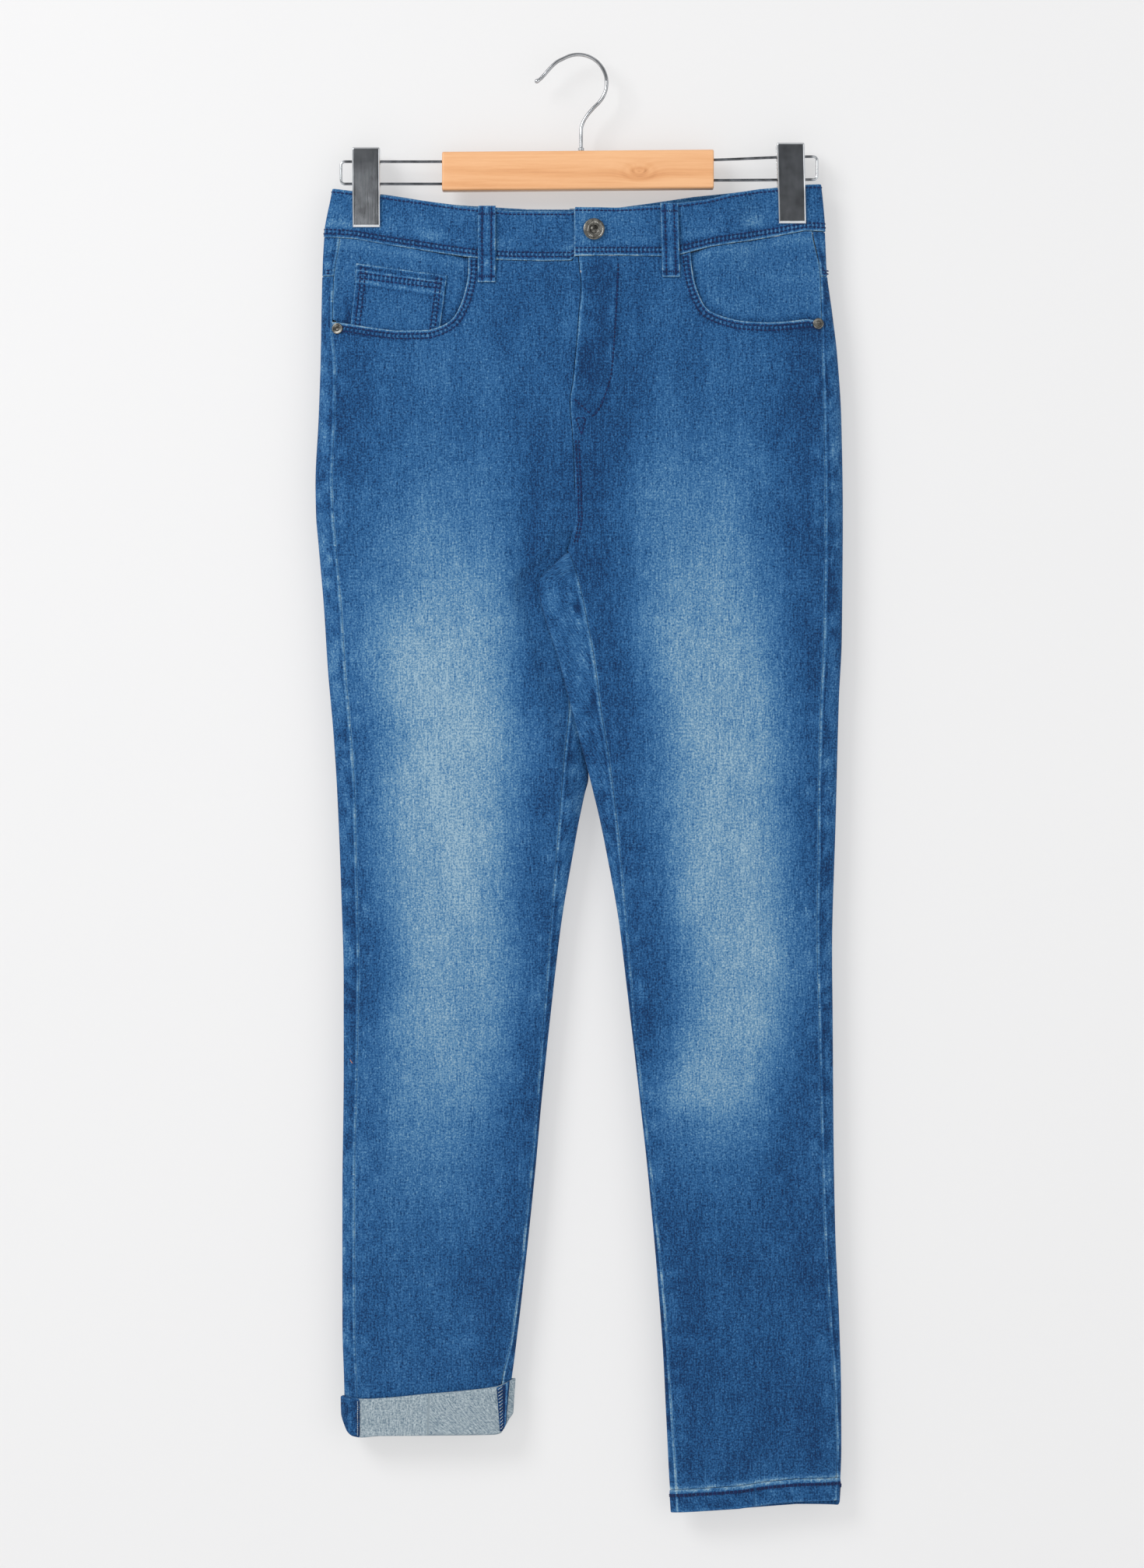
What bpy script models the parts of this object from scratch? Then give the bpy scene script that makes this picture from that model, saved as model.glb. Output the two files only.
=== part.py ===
"""Slim fit jeans hanging from a clip hanger, front towards -Y, in metres.

The origin is the inner top of the hook, where a rail carries it. All tables and sizes below
are in millimetres. Sides are the wearer's: right is -X, left is +X.
"""

import bpy
import numpy as np

# Cloth
WALL = 1.2          # a panel, one layer of denim
BAND_WALL = 2.4     # the waistband
BAND_PROUD = 0.5    # how far the waistband stands out of the panels
SEAM_GAP = 0.15     # each panel stops this far from a seam line
FLAP = 4.2          # depth of the left leg's inner edge where it lies on the right leg
TUCK = 4.7          # how far the right leg's front lies back under that edge
CROTCH_Z = -394.0
LAP_RISE = 1.4      # the waistband's left end, where it lies on the right end
FACING_DEPTH = 3.1
COIN_WALL = 0.9
HEM_HEIGHT = 18.0
LOOP_WIDTH = 14.0
BUTTON_RADIUS = 8.5
RIVET_RADIUS = 4.4

# Hanger
HOOK_WIRE = 1.5     # radius
HOOK_RADIUS = 22.6
BAR_DEPTH = 13.0
LOOP_WIRE = 1.1     # radius
CLIP_WIDTH = 22.3
CLIP_SHEET = 0.8

# Half depth of the hanging cloth from its middle plane: z, depth
DEPTH = [(-100, 9.0), (-135, 9.2), (-160, 9.6), (-200, 10.3), (-250, 11.2), (-320, 11.8),
         (-394, 11.4), (-450, 10.6), (-560, 9.6), (-700, 8.6), (-900, 7.6), (-1060, 7.2),
         (-1170, 7.2)]

# Outline of each half from the front: z, x of the outer fold
OUTER = {
    "right": [(-96, -194.0), (-106, -195.5), (-144, -202.4), (-176, -204.0), (-240, -205.3),
              (-290, -207.0), (-340, -209.4), (-364, -209.0), (-389, -207.0), (-439, -202.7),
              (-488, -199.6), (-538, -195.2), (-588, -192.0), (-662, -189.0), (-736, -187.0),
              (-811, -187.0), (-910, -188.0), (-1009, -188.0), (-1059, -186.5), (-1110, -185.5)],
    "left": [(-96, 192.0), (-102, 193.0), (-140, 196.5), (-171, 198.0), (-202, 202.0),
             (-240, 206.5), (-290, 209.6), (-364, 210.8), (-464, 210.0), (-513, 207.7),
             (-612, 205.0), (-712, 202.3), (-761, 202.7), (-860, 203.4), (-935, 204.8),
             (-1009, 208.0), (-1059, 209.4), (-1108, 209.6), (-1162, 207.0)],
}

# Below the crotch: z, x of the inner fold
INNER = {
    "right": [(-394, -7.8), (-399, -5.0), (-406, -1.5), (-418, 3.0), (-430, 5.0), (-500, 6.5),
              (-560, 7.4), (-574, 8.2), (-588, 5.0), (-612, 0.0), (-637, -4.5), (-687, -13.0),
              (-736, -19.0), (-836, -29.6), (-885, -34.0), (-984, -44.5), (-1034, -50.5),
              (-1059, -53.5), (-1110, -56.0)],
    "left": [(-394, -7.8), (-406, -20.4), (-418, -31.2), (-424, -31.6), (-435, -29.8),
             (-455, -24.0), (-480, -15.7), (-510, -8.0), (-540, 0.0), (-570, 7.9), (-588, 12.4),
             (-612, 18.0), (-637, 23.0), (-687, 32.0), (-736, 38.0), (-836, 49.6), (-885, 55.0),
             (-984, 64.0), (-1034, 67.6), (-1083, 70.0), (-1133, 72.5), (-1162, 74.5)],
}

# Width of the back panel that shows in front of the outer fold: z, width
OUTSEAM_STRIP = {
    "right": [(-100, 9.0), (-145, 12.0), (-178, 8.8), (-214, 8.6), (-250, 12.0), (-310, 13.0),
              (-392, 14.0), (-575, 14.0), (-637, 13.0), (-760, 11.6), (-885, 9.5), (-1110, 10.0)],
    "left": [(-100, 9.5), (-140, 9.5), (-171, 5.0), (-202, 8.0), (-240, 12.0), (-310, 14.0),
             (-575, 14.4), (-637, 13.0), (-760, 11.0), (-885, 8.8), (-1009, 7.0), (-1064, 4.5),
             (-1108, 3.0), (-1162, 3.0)],
}

# The inseams on the front: z, x
INSEAM = {
    "right": [(-394, -7.8), (-399, -7.4), (-418, -6.6), (-445, -6.0), (-519, -6.8),
              (-551, -10.0), (-611, -14.9), (-669, -19.6), (-748, -25.6), (-797, -29.6),
              (-860, -34.6), (-914, -39.9), (-967, -45.4), (-1021, -52.7), (-1056, -60.0),
              (-1110, -64.0)],
    "left": [(-394, -7.8), (-418, 0.0), (-445, 5.9), (-476, 11.8), (-518, 17.4), (-560, 24.2),
             (-600, 29.4), (-649, 34.4), (-718, 40.4), (-778, 45.4), (-817, 49.6), (-853, 54.0),
             (-917, 60.8), (-1000, 68.8), (-1083, 74.2), (-1140, 78.0), (-1162, 79.0)],
}

# Seams down the middle of the front and of the back: z, x
RISE = {
    "front": [(-120, 0.0), (-161, 0.3), (-184, 2.4), (-202, 0.9), (-233, -1.6), (-263, -4.6),
              (-275, -6.5), (-302, -4.6), (-352, -2.4), (-368, -2.0), (-382, -4.1), (-394, -7.8)],
    "back": [(-120, 0.0), (-300, -1.0), (-368, -2.0), (-382, -4.1), (-394, -7.8)],
}

# The fullest line of each half: z, x
CREST = {
    "right": [(-100, -100.0), (-394, -100.0), (-560, -96.0), (-640, -101.0), (-760, -106.0),
              (-886, -110.0), (-1009, -117.0), (-1110, -121.0)],
    "left": [(-100, 100.0), (-394, 100.0), (-560, 108.0), (-640, 114.0), (-760, 121.0),
             (-886, 129.0), (-1009, 137.0), (-1162, 141.0)],
}

# How squarely the section turns at its folds: z, power
OUTER_POWER = [(-100, 6.0), (-200, 5.0), (-394, 4.0), (-640, 3.2), (-1162, 3.2)]
INNER_POWER = {
    "right": [(-380, 40.0), (-398, 40.0), (-430, 14.0), (-560, 9.0), (-640, 3.6), (-1162, 3.2)],
    "left": [(-380, 40.0), (-560, 40.0), (-640, 3.8), (-1162, 3.2)],
}

# Waistband edges: x, z
BAND_TOP = {
    "front": [(-202, -105.0), (-178.0, -108.0), (-154.0, -111.0), (-126.0, -115.6),
              (-98.0, -119.8), (-79.0, -121.9), (-55.0, -124.3), (-3.5, -124.4), (-2.5, -121.3),
              (31.0, -121.6), (65.0, -119.6), (79.0, -118.0), (103.0, -115.0), (121.0, -110.5),
              (144.5, -106.2), (180.0, -102.6), (200, -101.6)],
    "back": [(-202, -105.0), (-154.0, -110.0), (-98.0, -117.0), (-40.0, -120.6), (0.0, -120.8),
             (31.0, -119.4), (61.0, -115.3), (92.0, -110.7), (113.5, -108.6), (150, -105.0),
             (200, -101.6)],
}
BAND_BOTTOM = {
    "front": [(-206, -143.6), (-175.0, -145.5), (-146.0, -151.0), (-114.0, -157.0),
              (-90.0, -160.6), (-66.0, -163.0), (-28.0, -164.0), (-4.0, -163.6), (-3.0, -160.2),
              (31.0, -159.7), (67.6, -160.3), (82.0, -158.8), (105.0, -152.6), (136.0, -147.4),
              (181.0, -138.9), (200, -139.6)],
    "back": [(-206, -143.6), (-154.0, -148.5), (-98.0, -155.4), (-40.0, -159.0), (0.0, -159.2),
             (61.0, -154.2), (113.5, -147.0), (150, -143.2), (200, -139.6)],
}

# Front pocket openings, from the waistband to the side seam: x, z
POCKET = {
    "right": [(-87.4, -161.5), (-87.6, -172.7), (-89.3, -184.5), (-92.8, -196.5),
              (-99.8, -209.6), (-110.4, -216.4), (-122.8, -219.4), (-141.4, -219.6),
              (-165.2, -217.0), (-180.0, -214.4), (-195.5, -212.0)],
    "left": [(89.2, -158.0), (90.4, -169.0), (91.8, -177.6), (96.1, -191.3), (102.9, -202.4),
             (116.6, -208.8), (133.0, -212.2), (151.3, -213.0), (170.5, -211.6),
             (182.0, -210.2), (195.5, -209.0)],
}
POCKET_RISE_Z = [-162, -171, -181, -191, -201, -211, -219, -225, -229.5, -233, -236]
# How early each of these rows falls on its way to the middle, so that it stays under the edge
POCKET_FALL = [1, 1, 1, 1, 1, 1, 1, 0.35, 0.35, 0.35, 0.35]

# Rows that all four leg panels share: z at the side seam, at the front and at the back middle
LEVELS = [(-212, -236, -250), (-245, -262, -274), (-278, -288, -297), (-310, -314, -319),
          (-340, -340, -341), (-362, -361, -362), (-378, -377, -378), (-388, -387, -387),
          (-394, -394, -394), (-399, -399, -399), (-406, -406, -406), (-418, -418, -418),
          (-430, -430, -430), (-447, -447, -447), (-468, -468, -468), (-492, -492, -492),
          (-518, -518, -518), (-543, -543, -543), (-562, -562, -562), (-576, -576, -576),
          (-592, -592, -592), (-614, -614, -614), (-642, -642, -642), (-684, -684, -684),
          (-736, -736, -736), (-796, -796, -796), (-860, -860, -860), (-926, -926, -926),
          (-992, -992, -992)]
LEG_END = {"right": [(-1040, -1034)], "left": [(-1064, -1066)]}
YOKE_SIDE_Z = -175.5
YOKE_MIDDLE_Z = -221.0

# Largest soft folds: face, x and z of both ends, half width, height
FOLDS = [
    ("front", -12, -402, -62, -292, 11, 1.5),
    ("front", 10, -400, 58, -318, 12, 1.1),
    ("front", -150, -262, -112, -330, 14, 0.9),
    ("front", 40, -560, 88, -480, 12, 1.0),
    ("front", -40, -640, -92, -560, 12, 0.9),
    ("front", 60, -806, 120, -838, 10, -1.0),
    ("front", -60, -1018, -128, -1042, 9, 1.0),
    ("front", 96, -1098, 160, -1122, 10, 0.9),
    ("back", -20, -420, -84, -470, 13, 1.3),
    ("back", 34, -430, 92, -486, 13, 1.2),
    ("back", -60, -780, -140, -806, 12, -1.0),
    ("back", 84, -800, 156, -772, 12, -0.9),
]

# Hem of the left leg, lower edge: x, z
HEM = {
    "front": [(70, -1161.0), (99, -1158.6), (128, -1156.6), (151, -1153.2), (174, -1151.2),
              (212, -1153.0)],
    "back": [(70, -1161.0), (128, -1158.0), (174, -1154.6), (212, -1155.0)],
}

# Turn-up of the right leg: x, top z, bottom z
CUFF = [(-192, -1068.4, -1097.0), (-175, -1069.6, -1100.2), (-124, -1066.6, -1100.2),
        (-86, -1062.6, -1099.4), (-64, -1059.2, -1098.4), (-50, -1052.6, -1092.0)]

# Where the right leg's panels end inside the turn-up: x, z
PANEL_END = [(-192, -1082.0), (-50, -1067.0)]

# Belt loops: name, face, x at the top, x at the foot, z at the top, z at the foot
BELT_LOOPS = [
    ("belt_loop_front_right", "front", -72.6, -72.8, -120.4, -181.0),
    ("belt_loop_front_left", "front", 72.2, 73.8, -118.2, -177.0),
    ("belt_loop_side_right", "back", -134.0, -135.0, -110.8, -170.5),
    ("belt_loop_side_left", "back", 134.0, 135.0, -105.6, -165.0),
    ("belt_loop_back", "back", 0.0, 0.0, -119.6, -180.0),
]

# Back pockets: x and z of the corners from the top inner one round to the foot
BACK_POCKET = [(36, -246), (170, -230), (158, -362), (102, -389), (45, -370)]

# Hook centre line beyond its round part: x, z
HOOK_STEM = [(16.4, -36.8), (12.2, -41.0), (7.4, -46.6), (3.8, -52.6), (2.3, -58.0), (2.2, -64.0),
             (2.2, -72.6)]
HOOK_TIP = [(-34.7, -20.7), (-33.6, -20.2), (-31.4, -18.9), (-28.0, -15.7), (-24.4, -11.6),
            (-20.6, -7.5), (-16.6, -4.1)]


def curve(table, at):
    """The value of a two-column table at a place, passing smoothly through its rows."""
    rows = np.array(sorted(table), float)
    x, y = rows[:, 0], rows[:, 1]
    step = np.diff(x)
    rise = np.diff(y) / step
    both = rise[1:] * rise[:-1]
    total = rise[1:] + rise[:-1]
    middle = np.where(both > 0, 2 * both / np.where(total == 0, 1, total), 0)
    slope = np.concatenate([[rise[0]], middle, [rise[-1]]])
    at = np.clip(np.asarray(at, float), x[0], x[-1])
    i = np.clip(np.searchsorted(x, at) - 1, 0, len(x) - 2)
    t = (at - x[i]) / step[i]
    return (
        y[i] * (1 + 2 * t) * (1 - t) ** 2
        + slope[i] * step[i] * t * (1 - t) ** 2
        + y[i + 1] * t * t * (3 - 2 * t)
        - slope[i + 1] * step[i] * t * t * (1 - t)
    )


def straight(table, at):
    """The value of a two-column table at a place, in straight lines between its rows."""
    rows = np.array(sorted(table), float)
    return np.interp(at, rows[:, 0], rows[:, 1])


def soft(t):
    """A soft step from 0 to 1."""
    t = np.clip(t, 0.0, 1.0)
    return t * t * (3 - 2 * t)


def outseam_x(half, z):
    """The side seam where it shows on the front."""
    strip = curve(OUTSEAM_STRIP[half], z)
    return curve(OUTER[half], z) + (strip if half == "right" else -strip)


def inner_x(half, face, z):
    """The inner end of a half's section: a middle seam above the crotch, a fold below it."""
    return np.where(z > CROTCH_Z, curve(RISE[face], z), curve(INNER[half], z))


def folds(face, x, z):
    """Height of the soft folds, each a bell across its line that fades out at both ends."""
    height = np.zeros(np.broadcast(x, z).shape)
    for side, x0, z0, x1, z1, width, high in FOLDS:
        if side != face:
            continue
        length = np.hypot(x1 - x0, z1 - z0)
        dx, dz = (x1 - x0) / length, (z1 - z0) / length
        along = ((x - x0) * dx + (z - z0) * dz) / length
        across = ((x - x0) * dz - (z - z0) * dx) / width
        height += high * np.exp(-across ** 2) * soft(along * 3) * soft((1 - along) * 2)
    return height


def surface(half, face, x, z, inset=0.0):
    """Points of the hanging cloth at x, z; inset goes into the cloth, and below 0 out of it.

    Each half hangs as a flat tube, fullest at its crest, that turns at an outer and an inner
    fold. The left one's inner edge lies forward over the right one just under the crotch.
    """
    x, z = np.broadcast_arrays(np.asarray(x, float), np.asarray(z, float))
    near_clip = np.exp(-((np.abs(x) - 168.5) / 37.0) ** 4) * soft((z + 200) / 60)
    full = curve(DEPTH, z)
    full = full - (full - 2.7) * near_clip
    front, back = -full, full.copy()
    above = soft((-350 - z) / 44.0) ** 1.6
    if half == "left":
        under = np.where(z > CROTCH_Z, above, soft((z + 645) / 75))
        edge = inner_x("right", "back", z)
        back = back - under * soft((edge + 31 - x) / 26) * (2 * full - FLAP)
    else:
        shift = soft((x - inner_x("left", "front", z) + 24) / 17)
        push = TUCK * shift * soft((-374 - z) / 13) * soft((z + 645) / 50)
        front = front + push
        under = np.where(z > CROTCH_Z, above, soft((z + 428) / 32))
        back = back - under * soft((x + 40) / 30) * (2 * full - push - FLAP)
    crest = curve(CREST[half], z)
    outer = np.abs(curve(OUTER[half], z) - crest)
    inner = np.abs(inner_x(half, face, z) - crest)
    sign = -1.0 if half == "right" else 1.0
    side = (x - crest) * sign
    closed = soft((-384 - z) / 10)
    share_out = np.clip(side / outer, 0, 1)
    share_in = np.clip(-side / inner, 0, 1)
    turn = 1 - share_out ** curve(OUTER_POWER, z) - closed * share_in ** curve(INNER_POWER[half], z)
    turn = np.sqrt(np.clip(turn, 0, 1))
    middle, depth = (front + back) / 2, (back - front) / 2 - inset
    bump = folds(face, x, z) * turn ** 2
    y = middle + (-1 if face == "front" else 1) * (depth * turn + bump)
    shrink = np.where(side > 0, 1 - inset / outer, 1 - inset * closed / inner)
    return np.stack([crest + (x - crest) * shrink, y, z], axis=-1)


def spread(q):
    """Turns an even step along the section into a share of its width, finer at the fold."""
    return 1 - (1 - q) ** 2.2


def spread_back(share):
    """The step whose share of the width this is."""
    return 1 - (1 - np.clip(share, 0, 1)) ** (1 / 2.2)


def round_section(half, q, z, inset):
    """Points at steps q round a half: 0 is the back crest, -1 the outer fold, 1 the inner."""
    crest = curve(CREST[half], z)
    along = np.abs(q)
    on_back = along <= 1
    share = spread(np.where(on_back, along, 2 - along))
    points = {}
    for face in ("front", "back"):
        end = np.where(q < 0, curve(OUTER[half], z), inner_x(half, face, z))
        points[face] = surface(half, face, crest + (end - crest) * share, z, inset)
    return np.where(on_back[..., None], points["back"], points["front"])


def steps_round(half, z_out, z_in, count_out, count_in):
    """Steps of a back panel's row, from the side seam round the back to its inner edge."""
    crest = curve(CREST[half], z_out)
    seam = outseam_x(half, z_out) + (-SEAM_GAP if half == "right" else SEAM_GAP)
    start = -(2 - spread_back((seam - crest) / (curve(OUTER[half], z_out) - crest)))
    crest = curve(CREST[half], z_in)
    if z_in >= CROTCH_Z:
        end = spread_back(1 - SEAM_GAP / abs(inner_x(half, "back", z_in) - crest))
    else:
        seam = curve(INSEAM[half], z_in) + (SEAM_GAP if half == "right" else -SEAM_GAP)
        end = 2 - spread_back((seam - crest) / (curve(INNER[half], z_in) - crest))
    return np.concatenate([np.linspace(start, 0, count_out),
                           np.linspace(0, end, count_in)[1:]])


def levels_of(half):
    """All rows of a half's leg panels, as z at the side seam, front middle and back middle."""
    ends = [(out, mid, mid) for out, mid in LEG_END[half]]
    return LEVELS + ends


def row_height(half, q, z_out, z_in):
    """z along a row that runs from the side seam to the middle, by the place across the half."""
    across = np.where(q < 0, 0.5 - 0.5 * spread(np.clip(-q, 0, 1)),
                      0.5 + 0.5 * spread(np.clip(q, 0, 1)))
    return z_out + (z_in - z_out) * across


def leg_foot(half, face, x):
    """z where the leg panels end, just above the hem or inside the turn-up."""
    if half == "right":
        return straight(PANEL_END, x)
    return straight(HEM["front"], x) * (face == "front") + straight(HEM["back"], x) * (
        face == "back") + HEM_HEIGHT + 2 * SEAM_GAP


def new_object(name, points, faces, colour, roughness, metallic=0.0):
    """One named solid with its own material, from points in millimetres."""
    points = np.asarray(points, float) * 0.001
    corners = np.array([(f[0], f[i], f[i + 1]) for f in faces for i in range(1, len(f) - 1)])
    a, b, c = (points[corners[:, k]] for k in range(3))
    if np.einsum("ij,ij->i", a, np.cross(b, c)).sum() < 0:
        faces = [tuple(reversed(f)) for f in faces]
    mesh = bpy.data.meshes.new(name)
    mesh.from_pydata(points.tolist(), [], [list(map(int, f)) for f in faces])
    material = bpy.data.materials.new(name)
    material.use_nodes = True
    shader = material.node_tree.nodes["Principled BSDF"]
    shader.inputs["Base Color"].default_value = (*colour, 1.0)
    shader.inputs["Roughness"].default_value = roughness
    shader.inputs["Metallic"].default_value = metallic
    mesh.materials.append(material)
    thing = bpy.data.objects.new(name, mesh)
    bpy.context.scene.collection.objects.link(thing)
    return thing


def wall(name, outside, inside, colour, roughness, metallic=0.0):
    """A closed wall between two grids of points that have the same rows and columns."""
    rows, cols = outside.shape[:2]
    number = np.arange(rows * cols).reshape(rows, cols)
    other = number + rows * cols
    faces = []
    for i in range(rows - 1):
        for j in range(cols - 1):
            faces.append((number[i, j], number[i, j + 1], number[i + 1, j + 1], number[i + 1, j]))
            faces.append((other[i, j], other[i + 1, j], other[i + 1, j + 1], other[i, j + 1]))
    rim = np.concatenate([number[0, :-1], number[:-1, -1], number[-1, :0:-1], number[:0:-1, 0]])
    for a, b in zip(rim, np.roll(rim, -1)):
        faces.append((b, a, a + rows * cols, b + rows * cols))
    points = np.concatenate([outside.reshape(-1, 3), inside.reshape(-1, 3)])
    return new_object(name, points, faces, colour, roughness, metallic)


def ring(name, rings, colour, roughness, metallic=0.0, caps=False):
    """A solid through a list of closed rings; without caps the last ring joins the first."""
    rings = np.asarray(rings, float)
    count, around = rings.shape[:2]
    number = np.arange(count * around).reshape(count, around)
    faces = []
    for i in range(count if not caps else count - 1):
        near, far = number[i], number[(i + 1) % count]
        for j in range(around):
            k = (j + 1) % around
            faces.append((near[j], near[k], far[k], far[j]))
    if caps:
        faces.append(tuple(number[0][::-1]))
        faces.append(tuple(number[-1]))
    return new_object(name, rings.reshape(-1, 3), faces, colour, roughness, metallic)


def sweep(name, line, radii, sides, colour, roughness, metallic=1.0):
    """A round rod along a line of points in the plane y = 0, with one radius per point."""
    line = np.asarray(line, float)
    along = np.gradient(line, axis=0)
    along /= np.linalg.norm(along, axis=1)[:, None]
    turn = np.linspace(0, 2 * np.pi, sides, endpoint=False)
    rings = []
    for point, (dx, dz), radius in zip(line, along, radii):
        across = np.outer(np.cos(turn), (-dz, 0.0, dx)) + np.outer(np.sin(turn), (0, 1.0, 0))
        rings.append(np.array([point[0], 0.0, point[1]]) + radius * across)
    return ring(name, rings, colour, roughness, metallic, caps=True)


for thing in list(bpy.data.objects):
    bpy.data.objects.remove(thing, do_unlink=True)

DENIM = (0.035, 0.105, 0.24)
DENIM_PALE = (0.09, 0.20, 0.36)
DENIM_DARK = (0.022, 0.065, 0.16)
REVERSE = (0.36, 0.46, 0.54)
CHROME = (0.78, 0.79, 0.80)
WOOD = (0.80, 0.49, 0.25)

# Back leg panels: from the side seam on the front, round the outer fold and across the back to
# the middle seam, and below the crotch on round the inner fold to the inseam
for half in ("right", "left"):
    outside, inside = [], []
    top = [(YOKE_SIDE_Z - SEAM_GAP, YOKE_MIDDLE_Z - SEAM_GAP), (-193, -235)]
    for z_out, z_in in top + [(a, c) for a, b, c in levels_of(half)]:
        q = steps_round(half, z_out, z_in, 11, 13)
        z = row_height(half, q, z_out, z_in)
        outside.append(round_section(half, q, z, 0.0))
        inside.append(round_section(half, q, z, WALL))
    foot = -1075.0 if half == "right" else -1138.0
    q = steps_round(half, foot, foot, 11, 13)
    place = round_section(half, q, np.full(len(q), foot), 0.0)
    z = leg_foot(half, np.where(np.abs(q) <= 1, "back", "front"), place[:, 0])
    outside.append(round_section(half, q, z, 0.0))
    inside.append(round_section(half, q, z, WALL))
    wall("back_" + half, np.array(outside), np.array(inside), DENIM, 0.9)

# Front leg panels: from the pocket opening and the side seam to the fly edge and the inseam
SHARES = np.array([0, 0.05, 0.12, 0.21, 0.32, 0.43, 0.54, 0.64, 0.73, 0.81, 0.88, 0.93, 0.97, 1])
for half in ("right", "left"):
    away = 1.0 if half == "right" else -1.0
    rows = [(x + away * SEAM_GAP, z, m) for (x, z), m in zip(POCKET[half], POCKET_RISE_Z)][:-1]
    levels = [(POCKET[half][-1][1], POCKET_RISE_Z[-1], 0.0)] + levels_of(half)[1:]
    for z_out, z_front, z_back in levels:
        rows.append((outseam_x(half, z_out) + away * SEAM_GAP, z_out, z_front))
    foot = -1075.0 if half == "right" else -1138.0
    rows.append((outseam_x(half, foot) + away * SEAM_GAP, foot, foot))
    outside, inside = [], []
    for number, (x_out, z_out, z_in) in enumerate(rows):
        seam = curve(RISE["front"], z_in) if z_in >= CROTCH_Z else curve(INSEAM[half], z_in)
        x = x_out + (seam - away * SEAM_GAP - x_out) * SHARES
        fall = POCKET_FALL[number] if number < len(POCKET_FALL) else 1
        z = z_out + (z_in - z_out) * SHARES ** fall
        if number == 0:
            edge = np.minimum(x, -4.0) if half == "right" else x
            z = straight(BAND_BOTTOM["front"], edge) - 2 * SEAM_GAP
        if number == len(rows) - 1:
            z = leg_foot(half, "front", x)
        grid = {}
        for inset in (0.0, WALL):
            grid[inset] = surface(half, "front", x, z, inset)
            if half == "left":
                lap = 0.8 * soft((36 - x) / 8) * soft((z + 300) / 14)
                grid[inset][..., 1] -= lap
        outside.append(grid[0.0])
        inside.append(grid[WALL])
    wall("front_" + half, np.array(outside), np.array(inside), DENIM_PALE, 0.9)

# Yoke halves: from the waistband down to the yoke seam, and round the side to the front
for half in ("right", "left"):
    outside, inside = [], []
    for part in np.linspace(0, 1, 5):
        q = steps_round(half, -144.0 - 31.4 * part, -190.0, 12, 9)
        q = np.where(q > 0, q * spread_back(0.9985) / q[-1], q)
        foot = row_height(half, q, YOKE_SIDE_Z + SEAM_GAP, YOKE_MIDDLE_Z + SEAM_GAP)
        guess = round_section(half, q, foot, 0.0)
        head = np.where(np.abs(q) <= 1, straight(BAND_BOTTOM["back"], guess[..., 0]),
                        straight(BAND_BOTTOM["front"], guess[..., 0])) - 4 * SEAM_GAP
        z = head + (foot - head) * part
        outside.append(round_section(half, q, z, 0.0))
        inside.append(round_section(half, q, z, WALL))
    wall("yoke_" + half, np.array(outside), np.array(inside), DENIM, 0.9)

def facing_depth(x, z):
    """How far a facing lies behind the panel's face: least where the waistband holds it."""
    return FACING_DEPTH - 2.5 * soft((np.abs(x) - 98) / 22) * (1 - soft((-150 - z) / 35))


# Pocket facings: the denim seen in each pocket opening, set back behind the front panel
for half in ("right", "left"):
    away = 1.0 if half == "right" else -1.0
    outside, inside = [], []
    for part in (0, 0.09, 0.18, 0.27, 0.36, 0.45, 0.53, 0.61, 0.7, 0.85, 1):
        share = np.concatenate([[0, 0.055], np.linspace(0.125, 1, 8)])
        low = -236.0
        z_side = straight(BAND_BOTTOM["front"], -away * 190) - 1.0
        start = outseam_x(half, z_side + (low - z_side) * part) + away * 0.7
        end = -away * (74 + 14 * part)
        x = start + (end - start) * share
        head = straight(BAND_BOTTOM["front"], x) - 1.0
        z = head + (low - head) * part
        # It comes forward to meet the side seam, down to where the front panel covers it
        rise = (1 - soft((x - start) * away / 6)) * soft((z + 211) / 8)
        depth = facing_depth(x, z) * (1 - rise) + 0.3 * rise
        outside.append(surface(half, "front", x, z, depth))
        inside.append(surface(half, "front", x, z, depth + WALL))
    wall("pocket_facing_" + half, np.array(outside), np.array(inside), DENIM, 0.9)

# Coin pocket: a small patch on the right facing that runs down behind the front panel
outside, inside = [], []
for part in np.linspace(0, 1, 5):
    share = np.linspace(0, 1, 7)
    x = -(177 + 4 * part) + (72.5 - 1.5 * part) * share
    z = (-166.5 - 10.5 * share) * (1 - part) + (-226 - 4 * share) * part
    depth = facing_depth(x, z) - COIN_WALL - 0.45
    outside.append(surface("right", "front", x, z, depth))
    inside.append(surface("right", "front", x, z, depth + COIN_WALL))
wall("coin_pocket", np.array(outside), np.array(inside), DENIM_PALE, 0.9)

# Fly: the shield behind the closed fly, and the zip tape between it and the left front
for name, x0, x1, low, depth, thick, colour in (
    ("fly_shield", -14.0, 34.0, -288.0, 1.75, 1.2, DENIM),
    ("fly_zip", 8.0, 24.0, -282.0, 0.75, 0.7, DENIM_DARK),
):
    x, z = np.meshgrid(np.linspace(x0, x1, 5), np.linspace(-165.5, low, 9))
    x = x - 7.0 * soft((-200 - z) / 90)
    wall(name, surface("left", "front", x, z, depth),
         surface("left", "front", x, z, depth + thick), colour, 0.9)

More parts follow.
